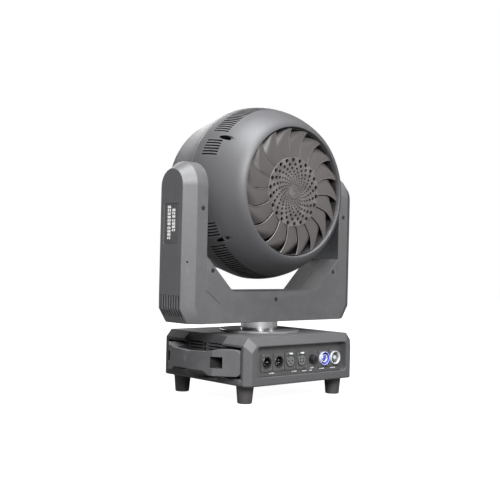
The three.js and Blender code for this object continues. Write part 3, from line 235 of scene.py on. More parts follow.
def wire(name, points):
    """One vertex, extruded from point to point."""
    clear()
    bpy.ops.mesh.primitive_plane_add(size=MM)
    piece = named(name)
    bpy.ops.object.mode_set(mode="EDIT")
    bpy.ops.mesh.select_mode(type="VERT")
    bpy.ops.mesh.merge(type="CENTER")
    bpy.ops.transform.translate(value=points[0])
    for before, after in zip(points, points[1:]):
        bpy.ops.mesh.extrude_region_move(TRANSFORM_OT_translate={"value": after - before})
    return piece


def spun(name, profile, axis, centre=(0, 0, 0), steps=96):
    """A wall spun from an outline of radius and place along the axis, in millimetres."""
    out = X if axis == Z else Z
    middle = Vector(centre)
    piece = wire(name, [(middle + out * r + axis * h) * MM for r, h in profile])
    bpy.ops.mesh.select_all(action="SELECT")
    bpy.ops.mesh.spin(steps=steps, angle=2 * math.pi, center=middle * MM, axis=axis)
    bpy.ops.mesh.select_all(action="SELECT")
    bpy.ops.mesh.remove_doubles(threshold=1e-6)
    bpy.ops.mesh.normals_make_consistent(inside=False)
    bpy.ops.object.mode_set(mode="OBJECT")
    return piece


def merged(node, whole_faces=True):
    """A copy of a CAD node with its corners merged and, if wanted, its flat faces made whole."""
    piece = bpy.data.objects.new(node + "_shape", NODES[node].data.copy())
    piece.data.materials.clear()
    bpy.context.scene.collection.objects.link(piece)
    take(piece)
    bpy.ops.object.mode_set(mode="EDIT")
    bpy.ops.mesh.select_all(action="SELECT")
    bpy.ops.mesh.remove_doubles(threshold=2e-6)
    if whole_faces:
        bpy.ops.mesh.dissolve_limited(angle_limit=math.radians(0.5))
    bpy.ops.object.mode_set(mode="OBJECT")
    return piece


# ---- Shader groups: the textures that several finishes share ----

def new_group(name, inputs, outputs):
    group = bpy.data.node_groups.new(name, "ShaderNodeTree")
    for socket, kind, value in inputs:
        made = group.interface.new_socket(name=socket, in_out="INPUT", socket_type=kind)
        made.default_value = value
    for socket, kind in outputs:
        group.interface.new_socket(name=socket, in_out="OUTPUT", socket_type=kind)
    return group, group.nodes.new("NodeGroupInput"), group.nodes.new("NodeGroupOutput")


def add_node(tree, kind, **settings):
    made = tree.nodes.new(kind)
    for key, value in settings.items():
        setattr(made, key, value)
    return made


def join_sockets(tree, *pairs):
    for source, target in pairs:
        tree.links.new(source, target)


def mixed(tree, factor, first, second, blend="MIX"):
    """A colour mix; each of the three may be a socket or a plain value."""
    made = add_node(tree, "ShaderNodeMix", data_type="RGBA", blend_type=blend)
    for index, value in ((0, factor), (6, first), (7, second)):
        if isinstance(value, bpy.types.NodeSocket):
            tree.links.new(value, made.inputs[index])
        else:
            made.inputs[index].default_value = value
    return made.outputs[2]


def spread(tree, value, low, high, to_low=0.0, to_high=1.0):
    """Stretches a value's range."""
    made = add_node(tree, "ShaderNodeMapRange", clamp=True)
    made.inputs["From Min"].default_value = low
    made.inputs["From Max"].default_value = high
    for name, target in (("To Min", to_low), ("To Max", to_high)):
        if isinstance(target, bpy.types.NodeSocket):
            tree.links.new(target, made.inputs[name])
        else:
            made.inputs[name].default_value = target
    tree.links.new(value, made.inputs["Value"])
    return made.outputs["Result"]


def make_spark_texture():
    """Moulded plastic: a fine spark-eroded grain, a slow drift of tone and slightly uneven gloss."""
    group, given, out = new_group(
        "spark_texture",
        [("Colour", "NodeSocketColor", (0.1, 0.1, 0.1, 1)), ("Grain per Metre", "NodeSocketFloat", 900.0),
         ("Tone Drift", "NodeSocketFloat", 0.1), ("Roughness", "NodeSocketFloat", 0.5)],
        [("Colour", "NodeSocketColor"), ("Roughness", "NodeSocketFloat"), ("Height", "NodeSocketFloat")])
    place = add_node(group, "ShaderNodeTexCoord")
    grain = add_node(group, "ShaderNodeTexNoise")
    grain.inputs["Detail"].default_value = 3.0
    pits = add_node(group, "ShaderNodeTexVoronoi", feature="F1")
    drift = add_node(group, "ShaderNodeTexNoise")
    drift.inputs["Scale"].default_value = 9.0
    drift.inputs["Detail"].default_value = 4.0
    speckle = spread(group, grain.outputs["Fac"], 0.35, 0.65, 0.93, 1.07)
    tone = add_node(group, "ShaderNodeMath", operation="MULTIPLY_ADD")
    tone.inputs[1].default_value = 1.0
    centred = add_node(group, "ShaderNodeMath", operation="SUBTRACT")
    centred.inputs[1].default_value = 0.5
    amount = add_node(group, "ShaderNodeMath", operation="MULTIPLY")
    shade = add_node(group, "ShaderNodeVectorMath", operation="SCALE")
    rough = add_node(group, "ShaderNodeMath", operation="MULTIPLY")
    height = add_node(group, "ShaderNodeMath", operation="ADD")
    join_sockets(
        group,
        (place.outputs["Object"], grain.inputs["Vector"]), (given.outputs["Grain per Metre"], grain.inputs["Scale"]),
        (place.outputs["Object"], pits.inputs["Vector"]), (given.outputs["Grain per Metre"], pits.inputs["Scale"]),
        (place.outputs["Object"], drift.inputs["Vector"]), (drift.outputs["Fac"], centred.inputs[0]),
        (centred.outputs[0], amount.inputs[0]), (given.outputs["Tone Drift"], amount.inputs[1]),
        (speckle, tone.inputs[0]), (amount.outputs[0], tone.inputs[2]),
        (given.outputs["Colour"], shade.inputs[0]), (tone.outputs[0], shade.inputs["Scale"]),
        (shade.outputs[0], out.inputs["Colour"]),
        (spread(group, drift.outputs["Fac"], 0.3, 0.7, 0.9, 1.1), rough.inputs[0]),
        (given.outputs["Roughness"], rough.inputs[1]), (rough.outputs[0], out.inputs["Roughness"]),
        (grain.outputs["Fac"], height.inputs[0]), (pits.outputs["Distance"], height.inputs[1]),
        (height.outputs[0], out.inputs["Height"]))
    return group


def make_wear_and_edge_sheen():
    """Rubbed corners, faint dust and painted edge sheen: the colour lightens on convex edges and on upward faces; a
    strong edge setting paints highlights as well as wear.
    """
    group, given, out = new_group(
        "wear_and_edge_sheen",
        [("Colour", "NodeSocketColor", (0.1, 0.1, 0.1, 1)), ("Rubbed Colour", "NodeSocketColor", (0.3, 0.3, 0.3, 1)),
         ("Edge Rub", "NodeSocketFloat", 0.3), ("Dust", "NodeSocketFloat", 0.1)],
        [("Colour", "NodeSocketColor")])
    place = add_node(group, "ShaderNodeTexCoord")
    patch = add_node(group, "ShaderNodeTexNoise")
    patch.inputs["Scale"].default_value = 60.0
    patch.inputs["Detail"].default_value = 5.0
    shape = add_node(group, "ShaderNodeNewGeometry")
    edge = spread(group, shape.outputs["Pointiness"], 0.51, 0.6)
    broken = add_node(group, "ShaderNodeMath", operation="MULTIPLY")
    edge_wear_and_sheen = add_node(group, "ShaderNodeMath", operation="MULTIPLY")
    upward = add_node(group, "ShaderNodeSeparateXYZ")
    settled = add_node(group, "ShaderNodeMath", operation="MULTIPLY")
    dust = add_node(group, "ShaderNodeMath", operation="MULTIPLY")
    join_sockets(
        group,
        (place.outputs["Object"], patch.inputs["Vector"]), (edge, broken.inputs[0]),
        (spread(group, patch.outputs["Fac"], 0.35, 0.65), broken.inputs[1]),
        (broken.outputs[0], edge_wear_and_sheen.inputs[0]), (given.outputs["Edge Rub"], edge_wear_and_sheen.inputs[1]),
        (place.outputs["Normal"], upward.inputs[0]),
        (spread(group, upward.outputs["Z"], 0.5, 1.0), settled.inputs[0]),
        (patch.outputs["Fac"], settled.inputs[1]), (settled.outputs[0], dust.inputs[0]),
        (given.outputs["Dust"], dust.inputs[1]))
    lightened_edges = mixed(group, edge_wear_and_sheen.outputs[0], given.outputs["Colour"], given.outputs["Rubbed Colour"])
    join_sockets(group, (mixed(group, dust.outputs[0], lightened_edges, (0.45, 0.44, 0.42, 1)), out.inputs["Colour"]))
    return group


def make_brushed_grain():
    """Metal: fine lines along one axis, in colour, gloss and height."""
    group, given, out = new_group(
        "brushed_grain",
        [("Colour", "NodeSocketColor", (0.6, 0.6, 0.6, 1)), ("Roughness", "NodeSocketFloat", 0.3),
         ("Line Contrast", "NodeSocketFloat", 0.2)],
        [("Colour", "NodeSocketColor"), ("Roughness", "NodeSocketFloat"), ("Height", "NodeSocketFloat")])
    place = add_node(group, "ShaderNodeTexCoord")
    stretch = add_node(group, "ShaderNodeMapping")
    stretch.inputs["Scale"].default_value = (40, 40, 2500)
    lines = add_node(group, "ShaderNodeTexNoise")
    lines.inputs["Scale"].default_value = 1.0
    lines.inputs["Detail"].default_value = 4.0
    less = add_node(group, "ShaderNodeMath", operation="SUBTRACT")
    less.inputs[0].default_value = 1.0
    rough = add_node(group, "ShaderNodeMath", operation="MULTIPLY")
    shade = add_node(group, "ShaderNodeVectorMath", operation="SCALE")
    join_sockets(
        group,
        (place.outputs["Object"], stretch.inputs["Vector"]), (stretch.outputs[0], lines.inputs["Vector"]),
        (given.outputs["Line Contrast"], less.inputs[1]),
        (spread(group, lines.outputs["Fac"], 0.3, 0.7, less.outputs[0], 1.0), shade.inputs["Scale"]),
        (given.outputs["Colour"], shade.inputs[0]), (shade.outputs[0], out.inputs["Colour"]),
        (spread(group, lines.outputs["Fac"], 0.3, 0.7, 0.8, 1.25), rough.inputs[0]),
        (given.outputs["Roughness"], rough.inputs[1]), (rough.outputs[0], out.inputs["Roughness"]),
        (lines.outputs["Fac"], out.inputs["Height"]))
    return group


# ---- Finishes ----

def new_finish(name):
    finish = bpy.data.materials.new(name)
    finish.use_nodes = True
    return finish, finish.node_tree, finish.node_tree.nodes["Principled BSDF"]


def place_group(tree, group, **values):
    made = tree.nodes.new("ShaderNodeGroup")
    made.node_tree = group
    for socket, value in values.items():
        made.inputs[socket.replace("_", " ")].default_value = value
    return made


def bump(tree, height, normal, depth_mm, strength):
    made = tree.nodes.new("ShaderNodeBump")
    made.inputs["Distance"].default_value = depth_mm * MM
    made.inputs["Strength"].default_value = strength
    join_sockets(tree, (height, made.inputs["Height"]), (made.outputs["Normal"], normal))


def moulded(name, colour, roughness, grain=900.0, depth=0.04, drift=0.12, edge_wear_and_sheen=0.25, dust=0.05, coat=0.0):
    """Moulded plastic or powder coat with its texture and wear; the edge lightening can also paint a highlight."""
    finish, tree, shader = new_finish(name)
    texture = place_group(tree, SPARK_TEXTURE, Colour=(*colour, 1), Tone_Drift=drift, Roughness=roughness)
    texture.inputs["Grain per Metre"].default_value = grain
    lighter = tuple(min(1, c * 2.2 + 0.05) for c in colour)
    wear = place_group(tree, WEAR_AND_EDGE_SHEEN, Rubbed_Colour=(*lighter, 1), Edge_Rub=edge_wear_and_sheen, Dust=dust)
    join_sockets(tree, (texture.outputs["Colour"], wear.inputs["Colour"]),
                 (wear.outputs["Colour"], shader.inputs["Base Color"]),
                 (texture.outputs["Roughness"], shader.inputs["Roughness"]))
    bump(tree, texture.outputs["Height"], shader.inputs["Normal"], depth, 0.6)
    shader.inputs["Coat Weight"].default_value = coat
    return finish


def metal(name, colour, roughness, contrast=0.15, depth=0.01):
    finish, tree, shader = new_finish(name)
    grain = place_group(tree, BRUSHED_GRAIN, Colour=(*colour, 1), Roughness=roughness, Line_Contrast=contrast)
    join_sockets(tree, (grain.outputs["Colour"], shader.inputs["Base Color"]),
                 (grain.outputs["Roughness"], shader.inputs["Roughness"]))
    bump(tree, grain.outputs["Height"], shader.inputs["Normal"], depth, 0.4)
    shader.inputs["Metallic"].default_value = 1.0
    return finish


def make_lens_glass():
    finish, tree, shader = new_finish("lens_glass")
    shader.inputs["Base Color"].default_value = (0.93, 0.96, 0.98, 1)
    shader.inputs["Transmission Weight"].default_value = 1.0
    shader.inputs["Roughness"].default_value = 0.06
    shader.inputs["IOR"].default_value = 1.49
    place = tree.nodes.new("ShaderNodeTexCoord")
    waves = tree.nodes.new("ShaderNodeTexVoronoi")
    waves.inputs["Scale"].default_value = 260.0
    join_sockets(tree, (place.outputs["Object"], waves.inputs["Vector"]))
    bump(tree, waves.outputs["Distance"], shader.inputs["Normal"], 0.6, 0.5)
    return finish


def make_circuit_green():
    """Solder resist with copper tracks under it."""
    finish, tree, shader = new_finish("circuit_green")
    place = tree.nodes.new("ShaderNodeTexCoord")
    tracks = add_node(tree, "ShaderNodeTexBrick", offset=0.5)
    tracks.inputs["Scale"].default_value = 90.0
    tracks.inputs["Mortar Size"].default_value = 0.08
    tracks.inputs["Color1"].default_value = (0.015, 0.10, 0.04, 1)
    tracks.inputs["Color2"].default_value = (0.02, 0.13, 0.05, 1)
    tracks.inputs["Mortar"].default_value = (0.05, 0.22, 0.08, 1)
    join_sockets(tree, (place.outputs["Object"], tracks.inputs["Vector"]),
                 (tracks.outputs["Color"], shader.inputs["Base Color"]))
    bump(tree, tracks.outputs["Fac"], shader.inputs["Normal"], 0.03, 0.5)
    shader.inputs["Roughness"].default_value = 0.35
    return finish


def make_led_yellow():
    """The phosphor dies of an emitter, four to a package."""
    finish, tree, shader = new_finish("led_yellow")
    place = tree.nodes.new("ShaderNodeTexCoord")
    dies = add_node(tree, "ShaderNodeTexChecker")
    dies.inputs["Scale"].default_value = 300.0
    dies.inputs["Color1"].default_value = (0.75, 0.62, 0.12, 1)
    dies.inputs["Color2"].default_value = (0.72, 0.72, 0.68, 1)
    join_sockets(tree, (place.outputs["Object"], dies.inputs["Vector"]),
                 (dies.outputs["Color"], shader.inputs["Base Color"]))
    shader.inputs["Roughness"].default_value = 0.3
    return finish


SPARK_TEXTURE = make_spark_texture()
WEAR_AND_EDGE_SHEEN = make_wear_and_edge_sheen()
BRUSHED_GRAIN = make_brushed_grain()
CASING_GREY = moulded("casing_grey", (0.052, 0.052, 0.055), 0.54)
# A lighter copy of the casing grey: painted light on the yoke.
YOKE_GREY_WITH_PAINTED_LIGHT = moulded("yoke_grey_with_painted_light", (0.064, 0.064, 0.067), 0.54)
# Strong edge lightening: partly wear, partly a painted highlight along the petal lips.
GRILLE_GREY = moulded("grille_grey", (0.054, 0.048, 0.047), 0.5, edge_wear_and_sheen=0.8)
HANDLE_GREY = moulded("handle_grey", (0.058, 0.058, 0.061), 0.52, edge_wear_and_sheen=0.35)
PANEL_GREY = moulded("panel_grey", (0.05, 0.05, 0.051), 0.45, grain=1500.0, depth=0.02)
SOCKET_BLACK = moulded("socket_black", (0.007, 0.007, 0.008), 0.4, grain=1800.0, depth=0.01, edge_wear_and_sheen=0.15)
# Black for the parts that are black, and painted shade inside covers, pockets and behind the grille.
BLACK_AND_PAINTED_SHADE = moulded("black_and_painted_shade", (0.007, 0.007, 0.007), 0.75, edge_wear_and_sheen=0.1)
TRIM_GREY = moulded("trim_grey", (0.09, 0.09, 0.093), 0.3, grain=1500.0, depth=0.015, edge_wear_and_sheen=0.6)
FOOT_RUBBER = moulded("foot_rubber", (0.04, 0.037, 0.037), 0.6, grain=700.0,
                      depth=0.06, drift=0.25, edge_wear_and_sheen=0.2, dust=0.2)
BELT_RUBBER = moulded("belt_rubber", (0.02, 0.02, 0.02), 0.7, grain=1200.0)
MAINS_BLUE = moulded("mains_blue", (0.06, 0.075, 0.45), 0.35, grain=1500.0, depth=0.01, edge_wear_and_sheen=0.3, coat=0.3)
MAINS_WHITE_AND_PAINTED_HIGHLIGHT = moulded("mains_white_and_painted_highlight", (0.5, 0.53, 0.54), 0.35, grain=1500.0, depth=0.01, drift=0.05, coat=0.3)
MAINS_BLUE_PAINTED_HIGHLIGHT = moulded("mains_blue_painted_highlight", (0.42, 0.45, 0.72), 0.35, grain=1500.0, depth=0.01, drift=0.05, coat=0.3)
RESIST_WHITE = moulded("resist_white", (0.4, 0.41, 0.42), 0.4, grain=1500.0, depth=0.01)
INSERT_GREY = moulded("insert_grey", (0.085, 0.085, 0.086), 0.45, grain=1500.0, depth=0.02)
PRINT_WHITE = moulded("print_white", (0.5, 0.5, 0.5), 0.6, drift=0.05, edge_wear_and_sheen=0.0)
DISPLAY_GLASS = moulded("display_pane_glass", (0.006, 0.008, 0.012), 0.06, grain=30.0, depth=0.02, edge_wear_and_sheen=0.0, coat=0.8)
COLLAR_CHROME = metal("collar_chrome", (0.82, 0.82, 0.83), 0.14, contrast=0.1)
LATCH_STEEL = metal("latch_steel", (0.72, 0.73, 0.75), 0.25)
FRAME_STEEL = metal("frame_steel", (0.42, 0.43, 0.45), 0.38)
SCREW_STEEL = metal("screw_steel", (0.09, 0.09, 0.095), 0.35)
PIN_SILVER = metal("pin_silver", (0.8, 0.79, 0.75), 0.22)
CAST_ALUMINIUM = metal("cast_aluminium", (0.56, 0.57, 0.58), 0.42, contrast=0.25)
# Dark cast metal; on the head frame it serves as painted shade.
DARK_CAST_AND_PAINTED_SHADE = metal("dark_cast_and_painted_shade", (0.05, 0.05, 0.052), 0.5, contrast=0.25)
LENS_GLASS = make_lens_glass()
CIRCUIT_GREEN = make_circuit_green()
LED_YELLOW = make_led_yellow()


def coat(piece, finish):
    piece.data.materials.clear()
    piece.data.materials.append(finish)
    return piece


def paint_shade_inside(piece, reach=400):
    """Paints shade: gives the faces that look at another face of the same piece a dark finish, inside a hollow cover.
    """
    piece.data.materials.append(BLACK_AND_PAINTED_SHADE)
    mesh = piece.data
    tree = BVHTree.FromPolygons([v.co for v in mesh.vertices], [f.vertices[:] for f in mesh.polygons])
    for face in mesh.polygons:
        hit = tree.ray_cast(face.center + face.normal * 0.05 * MM, face.normal, reach * MM)
        if hit[0] is not None:
            face.material_index = 1
    return piece


def placed(piece, name, finish, like, *instead):
    """Names and finishes a piece, hangs it on the body of a CAD node and hides the CAD nodes it replaces."""
    piece.name = name
    piece.data.name = name
    if finish is not None:
        coat(piece, finish)
    settle(piece)
    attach(piece, BODY_OF[like])
    if instead:
        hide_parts(*instead)
    return piece


# ---- Head ----

HEAD_CENTRE = (0, 0, TILT_HEIGHT)
HEAD_RADIUS = 158.6
HEAD_CENTRE_Y = -13
WALL = 3
RIM = 115.5
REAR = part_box("head_rear_shell")[1].y / MM
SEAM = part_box("head_rear_shell")[0].y / MM
VENT_SEGMENTS = 344
VENT_FROM, VENT_TO = 0, 34
LONG_VENTS = 50  # degrees to each side of the top and of the bottom
SIDE_VENTS = (56, 68.5)
PORT_OUT, PORT_UP, PORT_RADIUS = 121, 88, 4.9  # the deep screws of the shell
TILT_OPENING = 16


def round_radius(y):
    return math.sqrt(HEAD_RADIUS ** 2 - (y - HEAD_CENTRE_Y) ** 2)


def vent_here(middle):
    """Whether a face of the rear shell lies in a vent slot."""
    if not VENT_FROM < middle.y / MM < VENT_TO:
        return False
    turn = math.degrees(math.atan2(middle.x, middle.z - TILT_HEIGHT * MM)) % 360
    step = 360 / VENT_SEGMENTS
    if int(turn / step) % 2:
        return False
    from_pole = min(turn, abs(turn - 180), 360 - turn)
    return from_pole < LONG_VENTS or SIDE_VENTS[0] < from_pole < SIDE_VENTS[1]


def wall_with_painted_shade_inside(shell):
    """Gives a shell its wall, textured outside and matt black inside as painted shade."""
    coat(shell, CASING_GREY)
    shell.data.materials.append(BLACK_AND_PAINTED_SHADE)
    modify(shell, "SOLIDIFY", thickness=WALL * MM, offset=-1, material_offset=1, material_offset_rim=1)


def make_rear_shell():
    """The round rear half: spun, with its vents opened, then given its wall and its screw bores."""
    stations = [SEAM + 1, -12, -6, VENT_FROM, 8, 17, 26, VENT_TO, 42, 50, 58, 66, 74, 80]
    profile = [(round_radius(SEAM) - 0.35, SEAM)] + [(round_radius(y), y) for y in stations]
    profile += [(124.2, 84.2), (121.3, 86.4), (119, 87.5), (117.3, REAR), (116.2, REAR), (RIM, REAR - 0.8),
                (RIM - 0.6, REAR - 3), (RIM - 1.4, REAR - 12)]
    shell = spun("head_shell_rear", profile, Y, HEAD_CENTRE, VENT_SEGMENTS)
    take(shell)
    bpy.ops.object.mode_set(mode="EDIT")
    choose(shell, lambda middle, normal: vent_here(middle))
    bpy.ops.mesh.delete(type="FACE")
    bpy.ops.object.mode_set(mode="OBJECT")
    wall_with_painted_shade_inside(shell)
    bores = [rod(PORT_RADIUS, Y, 10, 70, (sx * PORT_OUT, 0, TILT_HEIGHT + sz * PORT_UP))
             for sx in (1, -1) for sz in (1, -1)]
    sides = [rod(TILT_OPENING, X, sx * 130, sx * 165, HEAD_CENTRE) for sx in (1, -1)]
    cut(shell, *bores, *sides)
    placed(smooth(shell, 35), "head_shell_rear", None, "head_rear_shell", "head_rear_shell")


def make_front_shell():
    """The tapered front half, with a shallow step near its edge."""
    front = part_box("head_front_shell")[0].y / MM
    profile = [(round_radius(SEAM) - 0.4, SEAM - 0.2), (158.5, SEAM - 0.9), (157.2, -28), (155.3, -36), (152, -50),
               (149.3, -60), (146.6, -72), (144.6, -82), (143.7, -86), (142.6, -87), (142, -92),
               (140.8, front + 1), (139.8, front)]
    shell = spun("head_shell_front", profile, Y, HEAD_CENTRE, 160)
    wall_with_painted_shade_inside(shell)
    placed(smooth(shell, 25), "head_shell_front", None, "head_front_shell", "head_front_shell")


def make_front_bezel():
    low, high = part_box("front_bezel")
    rear, front = high.y / MM, low.y / MM
    profile = [(126.5, rear), (139.4, rear), (139.4, rear - 2), (138.6, front + 1.8), (137, front + 0.5),
               (134.8, front),
               (130, front), (128.2, front + 0.6), (127.2, front + 2), (126.5, rear)]
    bezel = spun("lens_bezel", profile, Y, HEAD_CENTRE, 160)
    placed(smooth(bezel, 35), "lens_bezel", SOCKET_BLACK, "front_bezel", "front_bezel")


GRILLE_DISC = 62
GRILLE_FACE = 83.4
GRILLE_FRONT = 58
PETALS = 18
PETAL_PHASE = 11.3
PETAL_SLOT = 1.9  # between one petal's lip and the next petal
PETAL_DEPTH = 17
HOLE_ARMS = 22
HOLE_RINGS = 10


def petal_edge(radius):
    """How far a petal's edge is turned, clockwise from behind, in degrees."""
    run = (radius - GRILLE_DISC) / (RIM - 1.5 - GRILLE_DISC)
    return 13 * run * run - 8.5 * run


def petal_point(across, run):
    """A point of a petal: `across` from its sunken side to its lip, `run` from the disc to the rim."""
    radius = GRILLE_DISC - 0.5 + (RIM - 1.6 - GRILLE_DISC) * run
    start = petal_edge(radius) + math.degrees(PETAL_SLOT / radius)
    end = petal_edge(radius) + 360 / PETALS
    turn = math.radians(start + (end - start) * across)
    curl_from = 86 + 32 * across ** 1.5
    curl = max(0.0, min(1.0, (radius - curl_from) / 27))
    depth = PETAL_DEPTH * (1 - math.cos(curl * math.pi / 2)) + 1.6 * (1 - across) ** 2 - (0.8 if across > 0.97 else 0)
    return Vector((-radius * math.sin(turn), GRILLE_FACE - depth, radius * math.cos(turn)))


def make_petal():
    """One curled blade, from a grid whose rows run out from the disc."""
    clear()
    columns, rows = 18, 22
    bpy.ops.mesh.primitive_grid_add(x_subdivisions=columns, y_subdivisions=rows, size=1)
    petal = named("petal")
    for vertex in petal.data.vertices:
        across, run = vertex.co.x + 0.5, vertex.co.y + 0.5
        vertex.co = petal_point(across ** 0.8, run) * MM
    bpy.ops.object.mode_set(mode="EDIT")
    bpy.ops.mesh.select_all(action="SELECT")
    bpy.ops.mesh.normals_make_consistent(inside=False)
    mesh = bmesh.from_edit_mesh(petal.data)
    if sum(face.normal.y for face in mesh.faces) < 0:
        bpy.ops.mesh.flip_normals()
    bpy.ops.object.mode_set(mode="OBJECT")
    modify(petal, "SOLIDIFY", thickness=1.9 * MM, offset=-1)
    return rounded(petal, 0.5, 2, 50)


def make_grille_disc():
    """The perforated middle: holes that grow outwards along spiral arms, and a plain hub."""
    back = GRILLE_FACE - 3
    disc = spun("disc", [(0, back), (GRILLE_DISC, back), (GRILLE_DISC, GRILLE_FACE + 0.1),
                         (GRILLE_DISC - 0.5, GRILLE_FACE + 0.6), (13.4, GRILLE_FACE + 0.6), (13, GRILLE_FACE - 0.1),
                         (12.6, GRILLE_FACE + 0.9), (2.6, GRILLE_FACE + 0.9), (2.2, GRILLE_FACE + 0.2),
                         (0, GRILLE_FACE + 0.2)], Y, steps=96)
    cutters = []
    for ring in range(HOLE_RINGS):
        radius = 57.2 * 0.86 ** ring
        size = 3.75 * 0.85 ** ring
        pattern = rod(size, Y, back - 2, GRILLE_FACE + 4, (0, 0, radius), 16 if ring < 5 else 10)
        for arm in range(HOLE_ARMS):
            turn = math.radians(-3 + 360 * arm / HOLE_ARMS + 5.9 * ring)
            cutters.append(copy_of(pattern, Matrix.Rotation(-turn, 4, "Y")))
        bpy.data.objects.remove(pattern)
    return cut(disc, joined("hole_cutters", cutters))


def make_rear_grille():
    petal = make_petal()
    petals = [copy_of(petal, Matrix.Rotation(-math.radians(PETAL_PHASE + 360 * i / PETALS), 4, "Y"))
              for i in range(PETALS)]
    bpy.data.objects.remove(petal)
    rim = spun("grille_rim", [(RIM - 1.9, GRILLE_FRONT), (RIM - 1.9, GRILLE_FACE - 1.2),
                              (RIM - 2.4, GRILLE_FACE - 0.8), (RIM - 3.4, GRILLE_FACE - 1.2),
                              (RIM - 3.6, GRILLE_FRONT), (RIM - 1.9, GRILLE_FRONT)], Y, steps=128)
    rim.data.transform(Matrix.Translation((0, 0, TILT_HEIGHT * MM)))
    # The rim's black finish is painted shade on its inner wall.
    placed(smooth(rim, 40), "grille_frame", BLACK_AND_PAINTED_SHADE, "rear_grille")
    grille = joined("air_grille", [make_grille_disc(), *petals])
    grille.data.transform(Matrix.Translation((0, 0, TILT_HEIGHT * MM)))
    placed(smooth(grille, 40), "air_grille", GRILLE_GREY, "rear_grille", "rear_grille")
    # A black ring behind the petals: painted shade for the dark hollow seen through their gaps.
    shade_sheet = spun("painted_shade_sheet", [(64, 57), (RIM - 4, 57), (RIM - 4, 56), (64, 56), (64, 57)], Y, HEAD_CENTRE, 96)
    placed(smooth(shade_sheet), "painted_shade_sheet", BLACK_AND_PAINTED_SHADE, "fan_frame")


LENS_PITCH = 47
LENS_PLATE_RADIUS = 123
ZOOM_SCREW_OUT = 130
ZOOM_HOLE_RADIUS = 4.2
LED_REAR, LED_FRONT = -16.7, -18.2


def lens_places():
    """Nineteen places: one in the middle, six round it and twelve round those."""
    return [(LENS_PITCH * (q + r / 2), LENS_PITCH * r * math.sqrt(3) / 2)
            for q in range(-2, 3) for r in range(-2, 3) if abs(q + r) <= 2]


def make_lens():
    """A six-sided lens with a domed front, pushed out and inset from a low prism."""
    clear()
    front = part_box("lens_plate")[0].y / MM
    bpy.ops.mesh.primitive_cylinder_add(vertices=6, radius=(LENS_PITCH - 1.6) / math.sqrt(3) * MM, depth=2 * MM,
                                        location=(0, (front + 4) * MM, 0), rotation=(math.pi / 2, 0, 0))
    lens = settle(bpy.context.active_object)
    take(lens)
    bpy.ops.object.mode_set(mode="EDIT")
    for inset, push in ((2.0, 1.6), (4.5, 1.0), (5.0, 0.4)):
        choose(lens, lambda middle, normal: normal.y < -0.9)
        bpy.ops.mesh.inset(thickness=inset * MM)
        bpy.ops.transform.translate(value=(0, -push * MM, 0))
    bpy.ops.object.mode_set(mode="OBJECT")
    rounded(lens, 1.0, 3, 20)
    return lens


def make_lens_plate():
    low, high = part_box("lens_plate")
    front, rear = low.y / MM, high.y / MM
    plate = spun("plate", [(0, rear), (LENS_PLATE_RADIUS, rear), (LENS_PLATE_RADIUS, front + 4.6),
                           (LENS_PLATE_RADIUS - 1, front + 3.9), (0, front + 3.9)], Y, steps=128)
    lug = block((-8, front + 4.2, ZOOM_SCREW_OUT - 15), (8, rear, ZOOM_SCREW_OUT + 7))
    lens = make_lens()
    places = lens_places()
    seats = [rod(20.2, Y, front, rear + 3, (x, 0, z), 6) for x, z in places]
    cut(plate, joined("seats", seats))
    holder = joined("holder", [plate, rounded(lug, 1, 2)])
    cut(holder, rod(ZOOM_HOLE_RADIUS, Y, front, rear + 5, (0, 0, ZOOM_SCREW_OUT), 32))
    holder.data.transform(Matrix.Translation((0, 0, TILT_HEIGHT * MM)))
    placed(smooth(rounded(holder, 0.5, 2, 40)), "lens_holder", SOCKET_BLACK, "lens_plate", "lens_plate")
    lenses = [copy_of(lens, Matrix.Translation(Vector((x, 0, z + TILT_HEIGHT)) * MM)) for x, z in places]
    bpy.data.objects.remove(lens)
    placed(smooth(joined("lenses", lenses), 25), "lens_cluster", LENS_GLASS, "lens_plate")
    chips = [rounded(block((x - 5, LED_FRONT, z + TILT_HEIGHT - 5), (x + 5, LED_REAR, z + TILT_HEIGHT + 5)), 0.4)
             for x, z in places]
    placed(joined("chips", chips), "led_chips", LED_YELLOW, "led_board")


# ---- Yoke ----

YOKE_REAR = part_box("crossbar_cover_rear")[1].y / MM
YOKE_SCREWS = {"arm_cover": [(175, 330)], "crossbar_cover": [(150, 224), (153.5, 174), (0, 173)]}


def make_screw(radius=2.9):
    """A pan head with a six-sided socket, its head up +Z and its seat at the origin."""
    clear()
    bpy.ops.mesh.primitive_cylinder_add(vertices=24, radius=radius * MM, depth=1.5 * MM, location=(0, 0, 0.75 * MM))
    screw = settle(named("screw"))
    rounded(screw, 0.4, 2, 40)
    return cut(screw, rod(radius * 0.48, Z, 0.5, 3, sides=6))


def screws_at(name, places, like, finish=None, radius=2.9):
    """Screws at places in millimetres, each with the way that its head faces."""
    screw = make_screw(radius)
    made = []
    for place, facing in places:
        turn = Vector(facing).to_track_quat("Z", "Y").to_matrix().to_4x4()
        made.append(copy_of(screw, Matrix.Translation(Vector(place) * MM) @ turn))
    bpy.data.objects.remove(screw)
    placed(smooth(joined(name, made), 35), name, finish or SCREW_STEEL, like)


